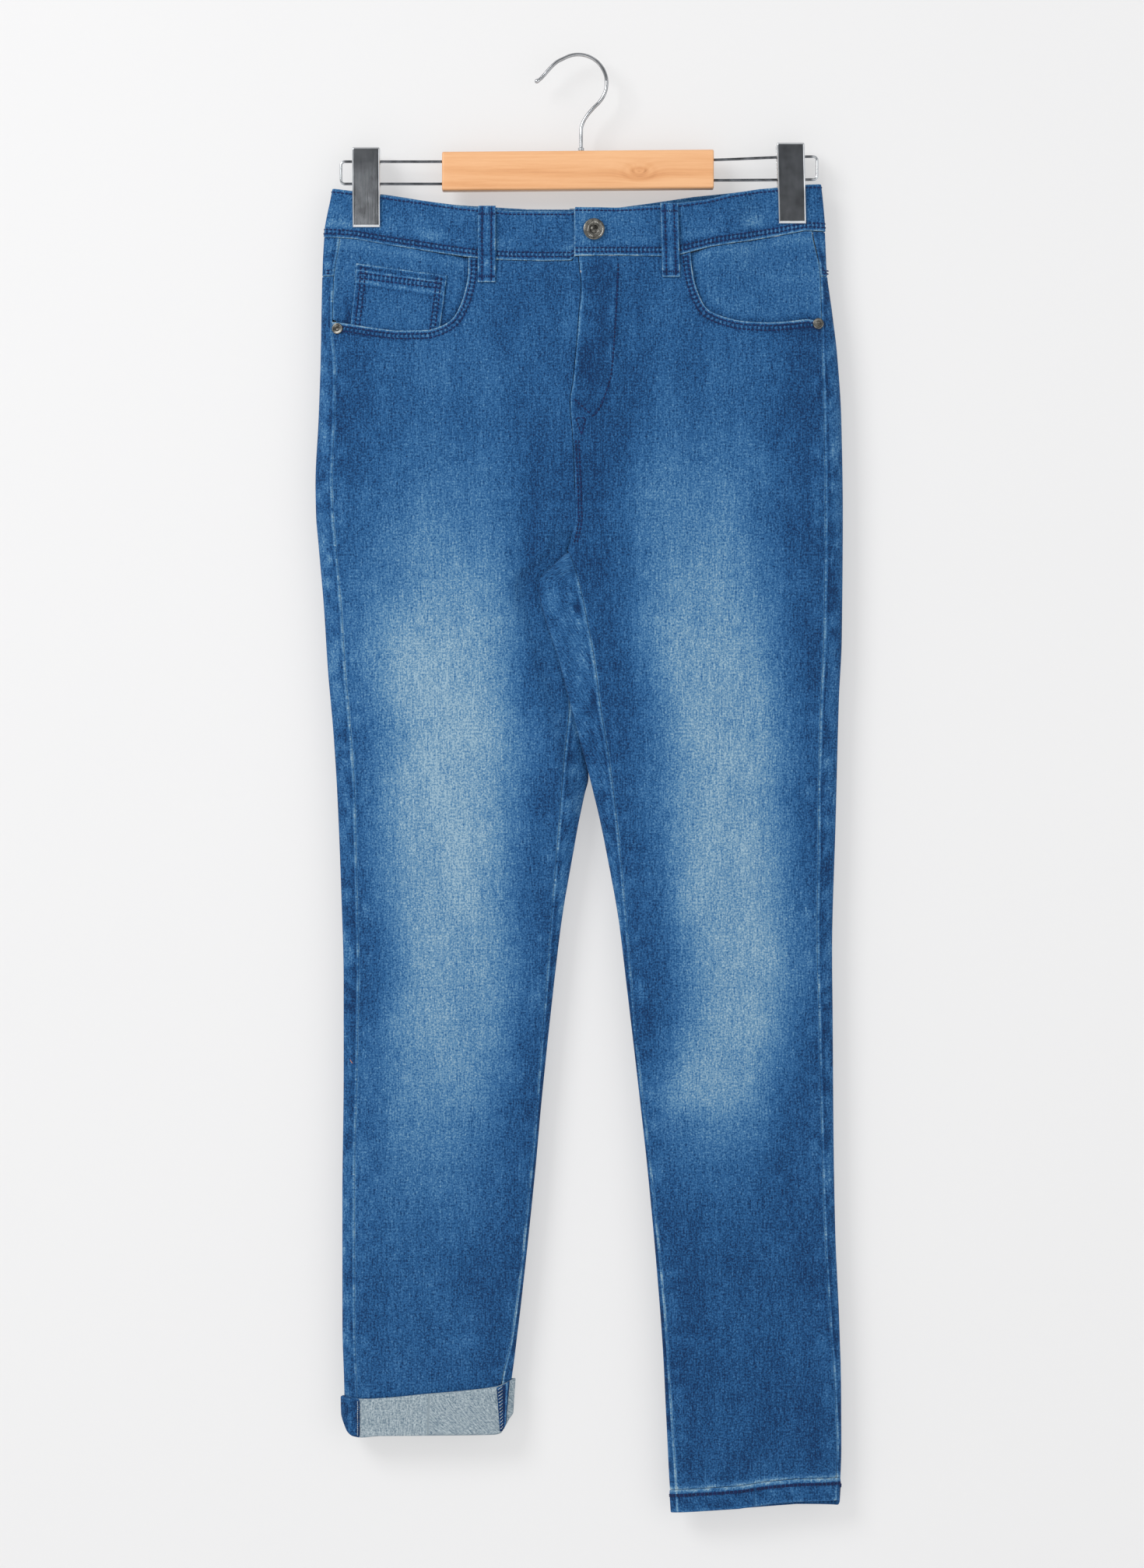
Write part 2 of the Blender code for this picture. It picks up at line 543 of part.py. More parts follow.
# Back pockets: plain patches with a pointed foot
for half in ("right", "left"):
    away = -1.0 if half == "right" else 1.0
    (ax, az), (bx, bz), (cx, cz), (dx, dz), (ex, ez) = BACK_POCKET
    across, down = np.meshgrid(np.linspace(0, 1, 9), np.linspace(0, 1, 8))
    foot_z = np.where(across < 0.5, ez + (dz - ez) * across * 2, dz + (cz - dz) * (across * 2 - 1))
    x = (ax + (bx - ax) * across) * (1 - down) + (ex + (cx - ex) * across) * down
    z = (az + (bz - az) * across) * (1 - down) + foot_z * down
    wall("back_pocket_" + half, surface(half, "back", away * x, z, -1.5),
         surface(half, "back", away * x, z, -0.3), DENIM_PALE, 0.9)

# Waistband: one strip from its left end, which laps over at the front, round to its right end
LAP = [("left", "front", np.array([-3.2, 2.0, 10, 20, 32, 48, 66, 84])),
       ("left", "front", 100 + 95.5 * spread(np.linspace(0, 0.92, 9))),
       ("left", "fold", np.array([1.0])),
       ("left", "back", 100 + 95.5 * spread(np.linspace(0, 0.92, 9))[::-1]),
       ("left", "back", np.array([80.0, 60, 40, 20, 0])),
       ("right", "back", -np.array([20.0, 40, 60, 80])),
       ("right", "back", -100 - 98.5 * spread(np.linspace(0, 0.92, 9))),
       ("right", "fold", np.array([1.0])),
       ("right", "front", -100 - 98.5 * spread(np.linspace(0, 0.92, 9))[::-1]),
       ("right", "front", np.array([-84.0, -66, -48, -32, -20, -12, -5, 2, 12, 24]))]
outside, inside = [], []
for part in np.linspace(0, 1, 5):
    for inset, row in ((-BAND_PROUD, outside), (BAND_WALL - BAND_PROUD, inside)):
        points = []
        for half, face, xs in LAP:
            side = "back" if face == "back" else "front"
            if face == "fold":
                xs = np.array([-199.0 if half == "right" else 194.5])
            scale = curve(OUTER[half], -125.0) if face == "fold" else xs
            z = straight(BAND_TOP[side], xs) * (1 - part) + straight(BAND_BOTTOM[side], xs) * part
            if face == "fold":
                xs = curve(OUTER[half], z)
            else:
                reach = (curve(OUTER[half], z) - curve(CREST[half], z)) / (
                    -98.5 if half == "right" else 95.5)
                beyond = np.abs(xs) > 100
                xs = np.where(beyond, np.sign(xs) * (100 + (np.abs(xs) - 100) * reach), xs)
            pts = surface(half, side, xs, z, inset)
            if half == "right" and face == "front":
                pts[:, 1] += 1.6 * soft((pts[:, 0] + 16) / 12)
            if half == "left" and face == "front":
                pts[:, 1] -= LAP_RISE * soft((30 - pts[:, 0]) / 16)
            points.append(pts)
        row.append(np.concatenate(points))
wall("waistband", np.array(outside), np.array(inside), DENIM, 0.9)

# Belt loops: folded strips that stand a little off the waistband between their sewn ends
for name, face, x_top, x_foot, z_top, z_foot in BELT_LOOPS:
    half = "right" if x_top < 0 else "left"
    outside, inside = [], []
    for part in np.linspace(0, 1, 9):
        x = x_top + (x_foot - x_top) * part + LOOP_WIDTH * np.linspace(-0.5, 0.5, 3)
        z = np.full(3, z_top + (z_foot - z_top) * part)
        off = BAND_PROUD + 0.3 + 1.9 * np.sin(np.pi * np.clip(part * 1.25, 0, 1))
        off = max(off, 0.8) if part < 0.8 else 0.8
        outside.append(surface(half, face, x, z, -off - 1.5))
        inside.append(surface(half, face, x, z, -off))
    wall(name, np.array(outside), np.array(inside), DENIM, 0.9)

# Hem of the left leg: the cloth turned up inside, as one ring
AROUND = np.concatenate([np.linspace(-2, 2, 41)[:-1]])


def leg_ring(half, offset, height):
    """A closed ring round a leg at an offset from its outer face, with z from height(x, face)."""
    z0 = np.full(len(AROUND), -1075.0 if half == "right" else -1150.0)
    places = round_section(half, AROUND, z0, -offset)
    face = np.where(np.abs(AROUND) <= 1, "back", "front")
    z = height(places[:, 0], face)
    return round_section(half, AROUND, z, -offset)


def hem_z(x, face):
    return np.where(face == "front", straight(HEM["front"], x), straight(HEM["back"], x))


rings = []
for offset, up in ((0.5, HEM_HEIGHT), (0.5, 1.0), (-0.3, 0.0), (-1.5, 0.0), (-2.1, 0.8),
                   (-2.1, HEM_HEIGHT - 1), (-1.4, HEM_HEIGHT)):
    rings.append(leg_ring("left", offset, lambda x, face, up=up: hem_z(x, face) + up))
ring("hem_left", rings, DENIM, 0.9)


# Turn-up of the right leg: the cloth runs down, folds out and comes up again doubled
def cuff_z(x, share):
    top = straight([(a, b) for a, b, c in CUFF], x)
    low = straight([(a, c) for a, b, c in CUFF], x)
    return low + (top - low) * share


rings = []
for offset, share, lift in ((3.0, 0, 1.6), (3.0, 0.5, 0), (3.0, 1, -0.7), (2.5, 1, 0),
                            (1.1, 1, 0), (0.6, 1, -0.6), (0.6, 0, 2.4), (0.3, 0, 1.9),
                            (0.0, 0, 2.4), (0.0, None, 0), (-WALL, None, 0), (-WALL, 0, 1.4),
                            (-0.4, 0, 0.3), (1.0, 0, 0.0), (2.3, 0, 0.4)):
    if share is None:
        rings.append(leg_ring("right", offset, lambda x, face: straight(PANEL_END, x) - 0.3))
    else:
        rings.append(leg_ring("right", offset,
                              lambda x, face, s=share, u=lift: cuff_z(x, s) + u))
ring("cuff_right", rings, REVERSE, 0.9)

# Seam allowances that show on the turn-up, one at each side seam
for name, x0, x1 in (("cuff_allowance_outer", -187.2, -175.0),
                     ("cuff_allowance_inner", -65.6, -57.0)):
    share, x = np.meshgrid(np.linspace(0.06, 0.97, 4), np.linspace(x0, x1, 4), indexing="ij")
    z = cuff_z(x, share)
    wall(name, surface("right", "front", x, z, -4.2), surface("right", "front", x, z, -3.3),
         DENIM_DARK, 0.9)

# Tack button on the lap, and the rivets at the pocket corners
for name, x, z, radius, profile in (
    ("tack_button", 12.4, -139.2, BUTTON_RADIUS,
     ((0.26, -0.15), (0.26, -1.2), (0.86, -1.4), (1.0, -2.1), (0.95, -2.9), (0.80, -3.2),
      (0.66, -2.7), (0.36, -2.5), (0.32, -3.0), (0.22, -3.2))),
    ("rivet_right", -191.4, -217.6, RIVET_RADIUS,
     ((0.98, -0.12), (1.0, -0.7), (0.8, -1.2), (0.45, -1.1), (0.36, -1.6), (0.15, -1.7))),
    ("rivet_left", 190.6, -213.6, RIVET_RADIUS,
     ((0.98, -0.12), (1.0, -0.7), (0.8, -1.2), (0.45, -1.1), (0.36, -1.6), (0.15, -1.7))),
):
    half = "right" if x < 0 else "left"
    proud = -BAND_PROUD if name == "tack_button" else 0.0
    spot = surface(half, "front", np.array([x, x + 2, x - 2]), np.array([z, z, z]), proud)
    slope = (spot[1, 1] - spot[2, 1]) / (spot[1, 0] - spot[2, 0])
    out = np.array([slope, -1.0, 0.0]) / np.hypot(slope, 1.0)
    side = np.array([1.0, slope, 0.0]) / np.hypot(slope, 1.0)
    lift = LAP_RISE if name == "tack_button" else 0.3
    turn = np.linspace(0, 2 * np.pi, 18, endpoint=False)
    rings = []
    for share, height in profile:
        middle = spot[0] + out * (lift - height)
        rings.append(middle + radius * share * (np.outer(np.cos(turn), side)
                                                + np.outer(np.sin(turn), (0, 0, 1.0))))
    ring(name, rings, (0.42, 0.42, 0.44), 0.35, 1.0, caps=True)

# Hook: a round rod with a ball at its tip and a collar where it enters the bar
angle = np.radians(np.linspace(119, -32, 22))
round_part = np.stack([HOOK_RADIUS * np.cos(angle),
                       HOOK_WIRE - HOOK_RADIUS + HOOK_RADIUS * np.sin(angle)], axis=1)
line = np.concatenate([HOOK_TIP, round_part, HOOK_STEM, [(2.2, -72.7), (2.2, -75.55)]])
radii = np.full(len(line), HOOK_WIRE)
radii[:3] = (0.9, 1.9, 1.7)
radii[-2:] = 2.4
sweep("hook", line, radii, 10, CHROME, 0.2)

# Hanger bar: a rounded wooden block, tilted a little up to its left end
corner = np.radians(np.linspace(0, 90, 4))
outline = []
for sy, sz, first in ((1, 1, 0), (-1, 1, 90), (-1, -1, 180), (1, -1, 270)):
    for a in corner + np.radians(first):
        outline.append((sy * (BAR_DEPTH / 2 - 2.5) + 2.5 * np.cos(a),
                        sz * (15.45 - 2.5) + 2.5 * np.sin(a)))
outline = np.array(outline)
rings = []
for x, scale in ((-108.4, 0.94), (-107.6, 1.0), (107.0, 1.0), (107.8, 0.94)):
    lean = -91.2 + 0.0083 * x
    rings.append(np.stack([np.full(len(outline), x), outline[:, 0] * scale,
                           lean + outline[:, 1] * scale], axis=1))
ring("hanger_bar", rings, WOOD, 0.5, 0.0, caps=True)

# Wire loops at the two ends of the bar, which carry the clips
for name, x_in, x_out, high_in, high_out, low_in, low_out in (
    ("wire_right", -108.6, -189.1, -83.8, -83.8, -101.5, -101.5),
    ("wire_left", 108.0, 190.3, -82.4, -79.8, -98.6, -98.0),
):
    away = np.sign(x_out)
    bend = np.radians(np.linspace(90, 0, 5))
    top = [(x_out + away * 3.0 * (np.cos(a) - 1), high_out + 3.0 * (np.sin(a) - 1)) for a in bend]
    low = [(x_out + away * 3.0 * (np.cos(a) - 1), low_out - 3.0 * (np.sin(a) - 1))
           for a in bend[::-1]]
    line = [(x_in, high_in)] + top + low + [(x_in, low_in)]
    sweep(name, line, np.full(len(line), LOOP_WIRE), 8, CHROME, 0.2)

# Clips: two pressed plates each, closed on the waistband, with a runner on the wires
for half, x_top, x_foot, z_top, z_foot in (("right", -168.8, -168.6, -73.4, -136.6),
                                           ("left", 168.7, 170.4, -69.8, -133.6)):
    for face, sign in (("front", -1.0), ("back", 1.0)):
        rings = []
        for part in (0.0, 0.12, 0.45, 0.62, 0.93, 1.0):
            x = x_top + (x_foot - x_top) * part
            z = z_top + (z_foot - z_top) * part
            out = 9.5 * (1 - part) + 5.2 * part
            wide, deep = CLIP_WIDTH / 2, 3.6
            shape = [(-wide, deep), (-wide, out - 1.2), (-wide + 1.6, out), (wide - 1.6, out),
                     (wide, out - 1.2), (wide, deep), (wide - CLIP_SHEET, deep),
                     (wide - CLIP_SHEET, out - 1.4), (wide - 1.9, out - CLIP_SHEET),
                     (-wide + 1.9, out - CLIP_SHEET), (-wide + CLIP_SHEET, out - 1.4),
                     (-wide + CLIP_SHEET, deep)]
            rings.append([(x + a, sign * b, z) for a, b in shape])
        ring("clip_" + face + "_" + half, rings, CHROME, 0.2, 1.0, caps=True)
    # The runner lies between the two wires and the two plates
    high, low = (-85.05, -100.25) if half == "right" else (-82.6, -97.0)
    rings = []
    for side in (-9.6, 9.6):
        x = (x_top + x_foot) / 2 + side
        lift = 0.012 * side if half == "left" else 0.0
        rings.append([(x, a, b + lift) for a, b in (
            (-3.4, low + 1), (-2.4, low), (2.4, low), (3.4, low + 1),
            (3.4, high - 1), (2.4, high), (-2.4, high), (-3.4, high - 1))])
    ring("clip_runner_" + half, rings, CHROME, 0.25, 1.0, caps=True)
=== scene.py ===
"""Slim fit jeans on a clip hanger: the cloth, sewing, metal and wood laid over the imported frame.

Tables and sizes are in millimetres and the meshes in metres. Sides are the wearer's: right is
-X, left is +X, and the front faces -Y. The origin is the inner top of the hook.
"""
import bpy
import numpy as np
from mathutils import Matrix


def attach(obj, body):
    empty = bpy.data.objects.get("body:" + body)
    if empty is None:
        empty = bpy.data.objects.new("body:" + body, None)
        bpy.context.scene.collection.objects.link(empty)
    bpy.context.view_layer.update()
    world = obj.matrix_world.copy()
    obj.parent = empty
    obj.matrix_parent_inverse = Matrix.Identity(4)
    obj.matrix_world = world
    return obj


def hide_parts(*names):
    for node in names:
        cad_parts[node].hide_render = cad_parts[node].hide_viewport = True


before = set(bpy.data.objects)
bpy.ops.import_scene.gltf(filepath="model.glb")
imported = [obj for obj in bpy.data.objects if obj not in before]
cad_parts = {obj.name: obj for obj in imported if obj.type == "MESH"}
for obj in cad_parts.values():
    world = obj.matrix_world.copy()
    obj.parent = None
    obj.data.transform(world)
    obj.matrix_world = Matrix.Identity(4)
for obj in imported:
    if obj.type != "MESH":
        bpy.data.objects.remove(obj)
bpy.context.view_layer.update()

# The studio: the garment hangs just clear of a pale wall, over a pale floor, in soft light from
# the upper left. A dark card and a small pale one stand behind the camera, and only polished
# metal mirrors them.


def feed(tree, made, inputs):
    """Sets each input of a shader node from a value, or joins it to a socket."""
    for key, value in dict(inputs).items():
        if isinstance(value, bpy.types.NodeSocket):
            tree.links.new(value, made.inputs[key])
        else:
            made.inputs[key].default_value = value


def node(tree, kind, inputs=(), **settings):
    """A shader node with its settings and inputs."""
    made = tree.nodes.new("ShaderNode" + kind)
    for key, value in settings.items():
        setattr(made, key, value)
    feed(tree, made, inputs)
    return made


def math(tree, operation, *values):
    """The result of a maths node for values or sockets."""
    return node(tree, "Math", dict(enumerate(values)), operation=operation).outputs[0]


def shifted(tree, place, **how):
    """A texture's place, scaled, turned and moved."""
    return node(tree, "Mapping", {"Vector": place, **how}).outputs[0]


def noise(tree, place, scale, detail, **more):
    """Cloudy noise from 0 to 1 at a place."""
    inputs = {"Vector": place, "Scale": scale, "Detail": detail, **more}
    return node(tree, "TexNoise", inputs).outputs["Fac"]


def bumps(tree, height, strength, distance, **more):
    """A surface's direction, tilted by a height."""
    inputs = {"Height": height, "Strength": strength, "Distance": distance, **more}
    return node(tree, "Bump", inputs).outputs[0]


def colour(red, green, blue):
    """A colour for a shader, from its 0 to 255 values on a screen."""
    shade = np.array([red, green, blue]) / 255
    line = np.where(shade <= 0.04045, shade / 12.92, ((shade + 0.055) / 1.055) ** 2.4)
    return (*line.tolist(), 1.0)


def shaded(tree, factor, shades):
    """A colour that runs through shades, each with its place from 0 to 1."""
    ramp = node(tree, "ValToRGB", {"Fac": factor})
    ends = ramp.color_ramp.elements
    ends[0].position, ends[0].color = shades[0][0], colour(*shades[0][1])
    ends[1].position, ends[1].color = shades[-1][0], colour(*shades[-1][1])
    for place, shade in shades[1:-1]:
        ends.new(place).color = colour(*shade)
    return ramp.outputs["Color"]


def new_material(name):
    """A new material, its tree of nodes and its shader."""
    material = bpy.data.materials.new(name)
    material.use_nodes = True
    return material, material.node_tree, material.node_tree.nodes["Principled BSDF"]


def on_object(tree):
    """The place on the object, in metres."""
    return node(tree, "TexCoord").outputs["Object"]


def painted_wall(name, corners, shade, glow=0.0, mottle=2.5, scale=1.6):
    """A flat sheet that shows only from the side it faces, with a faint plaster mottle."""
    mesh = bpy.data.meshes.new(name)
    mesh.from_pydata(corners, [], [(0, 1, 2, 3)])
    sheet = bpy.data.objects.new(name, mesh)
    bpy.context.scene.collection.objects.link(sheet)
    material, tree, shader = new_material(name)
    place = on_object(tree)
    paint = shaded(tree, noise(tree, place, scale, 2.0),
                   [(0, [s - mottle for s in shade]), (1, [s + mottle for s in shade])])
    feed(tree, shader, {"Base Color": paint, "Roughness": 0.9, "Emission Strength": glow,
                        "Emission Color": (1.0, 0.995, 0.985, 1.0)})
    clear = node(tree, "BsdfTransparent").outputs[0]
    behind = node(tree, "NewGeometry").outputs["Backfacing"]
    shown = node(tree, "MixShader", {0: behind, 1: shader.outputs[0], 2: clear})
    feed(tree, tree.nodes["Material Output"], {"Surface": shown.outputs[0]})
    mesh.materials.append(material)
    return sheet


WALL_Y, FLOOR_Z, FAR, CARD_Y = 0.022, -1.45, 5.0, -3.6
painted_wall("back_wall", [(-FAR, WALL_Y, FLOOR_Z), (FAR, WALL_Y, FLOOR_Z), (FAR, WALL_Y, 4),
                           (-FAR, WALL_Y, 4)], (172, 172, 173), 0.41)
painted_wall("floor", [(-FAR, -FAR, FLOOR_Z), (FAR, -FAR, FLOOR_Z), (FAR, WALL_Y, FLOOR_Z),
                       (-FAR, WALL_Y, FLOOR_Z)], (170, 170, 171), 0.40)
card = painted_wall("dark_card", [(1.6, CARD_Y, -1.4), (-0.9, CARD_Y, -1.4), (-0.9, CARD_Y, 1.3),
                                  (1.6, CARD_Y, 1.3)], (78, 80, 83), 0.0, 46, 14.0)
reflector = painted_wall("pale_card", [(-0.345, -3.59, -0.14), (-0.45, -3.59, -0.14),
                                       (-0.45, -3.59, -0.07), (-0.345, -3.59, -0.07)],
                         (230, 232, 235), 0.55)
for sheet in (card, reflector):
    sheet.visible_camera = False
    sheet.visible_diffuse = False
    sheet.visible_shadow = False

camera = bpy.data.objects.new("camera", bpy.data.cameras.new("camera"))
bpy.context.scene.collection.objects.link(camera)
bpy.context.scene.camera = camera
CAMERA_FAR, VIEW_HEIGHT = 3.2, 1.2487
camera.location = (-0.005, -CAMERA_FAR, -0.5794)
camera.rotation_euler = (np.pi / 2, 0.0, 0.0)
camera.data.sensor_fit = "VERTICAL"
camera.data.sensor_height = 36.0
camera.data.lens = camera.data.sensor_height * CAMERA_FAR / VIEW_HEIGHT

for name, place, turn, size, power in (
    ("key_light", (-1.7, -2.2, 1.0), (60, 0, -38), 1.3, 50.0),
    ("fill_light", (2.0, -2.6, -0.3), (82, 0, 38), 2.2, 14.0),
    ("low_light", (0.0, -2.6, -1.1), (98, 0, 0), 1.6, 8.0),
):
    lamp = bpy.data.lights.new(name, "AREA")
    lamp.size = size
    lamp.energy = power
    thing = bpy.data.objects.new(name, lamp)
    thing.location = place
    thing.rotation_euler = np.radians(turn)
    bpy.context.scene.collection.objects.link(thing)
world = bpy.data.worlds.new("studio_air")
bpy.context.scene.world = world
world.use_nodes = True
feed(world.node_tree, world.node_tree.nodes["Background"],
     {"Color": (0.98, 0.99, 1.0, 1.0), "Strength": 0.55})
bpy.context.scene.view_settings.view_transform = "Standard"

# Front leg panels: stretch denim, cut with a scoop for each pocket and a fly edge, faded by
# washing down the middle of each leg. The tables give the hanging shape of the whole garment.

WALL = 1.2          # one layer of denim
SEAM_GAP = 0.15     # each panel stops this far from a seam line
SIDES = (("right", 1.0), ("left", -1.0))    # each half, and which way its inner edge lies
FLAP = 4.2          # depth of the left leg's inner edge where it lies on the right leg
TUCK = 4.7          # how far the right leg's front lies back under that edge
CROTCH_Z = -394.0

# Half depth of the hanging cloth from its middle plane: z, depth
DEPTH = [(-100, 9), (-135, 9.2), (-160, 9.6), (-200, 10.3), (-250, 11.2), (-320, 11.8),
         (-394, 11.4), (-450, 10.6), (-560, 9.6), (-700, 8.6), (-900, 7.6), (-1060, 7.2),
         (-1170, 7.2)]

# Outer folds: z, x
OUTER = {
    "right": [(-96, -194), (-106, -195.5), (-144, -202.4), (-176, -204), (-240, -205.3),
              (-290, -207), (-340, -209.4), (-364, -209), (-389, -207), (-439, -202.7),
              (-488, -199.6), (-538, -195.2), (-588, -192), (-662, -189), (-736, -187),
              (-811, -187), (-910, -188), (-1009, -188), (-1059, -186.5), (-1110, -185.5)],
    "left": [(-96, 192), (-102, 193), (-140, 196.5), (-171, 198), (-202, 202), (-240, 206.5),
             (-290, 209.6), (-364, 210.8), (-464, 210), (-513, 207.7), (-612, 205), (-712, 202.3),
             (-761, 202.7), (-860, 203.4), (-935, 204.8), (-1009, 208), (-1059, 209.4),
             (-1108, 209.6), (-1162, 207)],
}

# Inner folds below the crotch: z, x
INNER = {
    "right": [(-394, -7.8), (-399, -5), (-406, -1.5), (-418, 3), (-430, 5), (-500, 6.5),
              (-560, 7.4), (-574, 8.2), (-588, 5), (-612, 0), (-637, -4.5), (-687, -13),
              (-736, -19), (-836, -29.6), (-885, -34), (-984, -44.5), (-1034, -50.5),
              (-1059, -53.5), (-1110, -56)],
    "left": [(-394, -7.8), (-406, -20.4), (-418, -31.2), (-424, -31.6), (-435, -29.8),
             (-455, -24), (-480, -15.7), (-510, -8), (-540, 0), (-570, 7.9), (-588, 12.4),
             (-612, 18), (-637, 23), (-687, 32), (-736, 38), (-836, 49.6), (-885, 55), (-984, 64),
             (-1034, 67.6), (-1083, 70), (-1133, 72.5), (-1162, 74.5)],
}

# Width of the back panel that shows in front of the outer fold: z, width
OUTSEAM_STRIP = {
    "right": [(-100, 9), (-145, 12), (-178, 8.8), (-214, 8.6), (-250, 12), (-310, 13), (-392, 14),
              (-575, 14), (-637, 13), (-760, 11.6), (-885, 9.5), (-1110, 10)],
    "left": [(-100, 9.5), (-140, 9.5), (-171, 5), (-202, 8), (-240, 12), (-310, 14), (-575, 14.4),
             (-637, 13), (-760, 11), (-885, 8.8), (-1009, 7), (-1064, 4.5), (-1108, 3),
             (-1162, 3)],
}

# Inseams on the front: z, x
INSEAM = {
    "right": [(-394, -7.8), (-399, -7.4), (-418, -6.6), (-445, -6), (-519, -6.8), (-551, -10),
              (-611, -14.9), (-669, -19.6), (-748, -25.6), (-797, -29.6), (-860, -34.6),
              (-914, -39.9), (-967, -45.4), (-1021, -52.7), (-1056, -60), (-1110, -64)],
    "left": [(-394, -7.8), (-418, 0), (-445, 5.9), (-476, 11.8), (-518, 17.4), (-560, 24.2),
             (-600, 29.4), (-649, 34.4), (-718, 40.4), (-778, 45.4), (-817, 49.6), (-853, 54),
             (-917, 60.8), (-1000, 68.8), (-1083, 74.2), (-1140, 78), (-1162, 79)],
}

# Seams down the middle of the front and of the back: z, x
RISE = {
    "front": [(-120, 0), (-161, 0.3), (-184, 2.4), (-202, 0.9), (-233, -1.6), (-263, -4.6),
              (-275, -6.5), (-302, -4.6), (-352, -2.4), (-368, -2), (-382, -4.1), (-394, -7.8)],
    "back": [(-120, 0), (-300, -1), (-368, -2), (-382, -4.1), (-394, -7.8)],
}

# Fullest line of each half: z, x
CREST = {
    "right": [(-100, -100), (-394, -100), (-560, -96), (-640, -101), (-760, -106), (-886, -110),
              (-1009, -117), (-1110, -121)],
    "left": [(-100, 100), (-394, 100), (-560, 108), (-640, 114), (-760, 121), (-886, 129),
             (-1009, 137), (-1162, 141)],
}

# How squarely the section turns at its folds: z, power
OUTER_POWER = [(-100, 6), (-200, 5), (-394, 4), (-640, 3.2), (-1162, 3.2)]
INNER_POWER = {
    "right": [(-380, 40), (-398, 40), (-430, 14), (-560, 9), (-640, 3.6), (-1162, 3.2)],
    "left": [(-380, 40), (-560, 40), (-640, 3.8), (-1162, 3.2)],
}

# Lower edge of the waistband: x, z
BAND_BOTTOM = {
    "front": [(-206, -143.6), (-175, -145.5), (-146, -151), (-114, -157), (-90, -160.6),
              (-66, -163), (-28, -164), (-4, -163.6), (-3, -160.2), (31, -159.7), (67.6, -160.3),
              (82, -158.8), (105, -152.6), (136, -147.4), (181, -138.9), (200, -139.6)],
    "back": [(-206, -143.6), (-154, -148.5), (-98, -155.4), (-40, -159), (0, -159.2),
             (61, -154.2), (113.5, -147), (150, -143.2), (200, -139.6)],
}

# Front pocket openings, from the waistband to the side seam: x, z, and the row's z at the middle
POCKET = {
    "right": [(-87.4, -161.5), (-87.6, -172.7), (-89.3, -184.5), (-92.8, -196.5), (-99.8, -209.6),
              (-110.4, -216.4), (-122.8, -219.4), (-141.4, -219.6), (-165.2, -217),
              (-180, -214.4), (-196.4, -212)],
    "left": [(89.2, -158), (90.4, -169), (91.8, -177.6), (96.1, -191.3), (102.9, -202.4),
             (116.6, -208.8), (133, -212.2), (151.3, -213), (170.5, -211.6), (182, -210.2),
             (195.5, -212)],
}
POCKET_RISE_Z = [-162, -171, -180, -189, -198, -206, -213, -220, -226, -231, -236]

# Curved row of stitches that holds the fly: z, x
J_STITCH = [(-170, 31.6), (-196, 30.4), (-227, 28.5), (-254.5, 26), (-269.4, 21.7),
            (-284.3, 14.9), (-289.2, 8.7)]

# Soft folds, each a bell across a line: x and z of both ends, half width, height
FOLDS = {
    "front": [(-12, -402, -62, -292, 11, 1.5), (10, -400, 58, -318, 12, 1.1),
              (-150, -262, -112, -330, 14, 0.9), (40, -560, 88, -480, 12, 1),
              (-40, -640, -92, -560, 12, 0.9), (60, -806, 120, -838, 10, -1),
              (-60, -1018, -128, -1042, 9, 1), (96, -1098, 160, -1122, 10, 0.9),
              (-40, -300, -42, -540, 11, -2), (-70, -320, -74, -520, 12, 0.8),
              (24, -190, 12, -290, 5, 0.8), (-30, -300, -52, -470, 5, -0.5),
              (46, -806, 74, -816, 4, -1.2), (52, -822, 96, -826, 5, 0.7),
              (-176, -300, -130, -286, 9, 0.5), (20, -300, 74, -262, 9, 0.5),
              (176, -330, 120, -360, 12, 0.5), (-170, -700, -110, -742, 14, 0.6),
              (-60, -860, -120, -884, 12, 0.5), (110, -640, 170, -604, 13, 0.5),
              (90, -940, 160, -968, 12, 0.6), (-180, -980, -130, -1010, 9, 0.6),
              (90, -1118, 140, -1130, 6, -0.6), (-100, -1030, -160, -1050, 6, -0.6)],
    "back": [(-20, -420, -84, -470, 13, 1.3), (34, -430, 92, -486, 13, 1.2),
             (-60, -780, -140, -806, 12, -1), (84, -800, 156, -772, 12, -0.9),
             (-176, -300, -130, -286, 9, 0.5), (170, -290, 118, -300, 9, 0.5),
             (-30, -360, -80, -330, 12, 0.7), (26, -360, 72, -326, 12, 0.7),
             (-110, -560, -40, -600, 13, 0.6), (100, -590, 160, -640, 13, 0.6),
             (-170, -930, -110, -956, 12, 0.5), (96, -1010, 160, -1036, 12, 0.6)],
}


def curve(table, at):
    """A two-column table's value at a place: a cubic through its rows.

    Its slope at a row is the harmonic mean of the slopes on both sides, or 0 where they differ
    in sign.
    """
    rows = np.array(sorted(table), float)
    x, y = rows[:, 0], rows[:, 1]
    step = np.diff(x)
    rise = np.diff(y) / step
    both = rise[1:] * rise[:-1]
    total = rise[1:] + rise[:-1]
    middle = np.where(both > 0, 2 * both / np.where(total == 0, 1, total), 0)
    slope = np.concatenate([[rise[0]], middle, [rise[-1]]])
    at = np.clip(np.asarray(at, float), x[0], x[-1])
    i = np.clip(np.searchsorted(x, at) - 1, 0, len(x) - 2)
    t = (at - x[i]) / step[i]
    return (y[i] * (1 + 2 * t) * (1 - t) ** 2 + slope[i] * step[i] * t * (1 - t) ** 2
            + y[i + 1] * t * t * (3 - 2 * t) - slope[i + 1] * step[i] * t * t * (1 - t))


def straight(table, at):
    """A two-column table's value at a place, in straight lines between its rows."""
    rows = np.array(sorted(table), float)
    return np.interp(at, rows[:, 0], rows[:, 1])


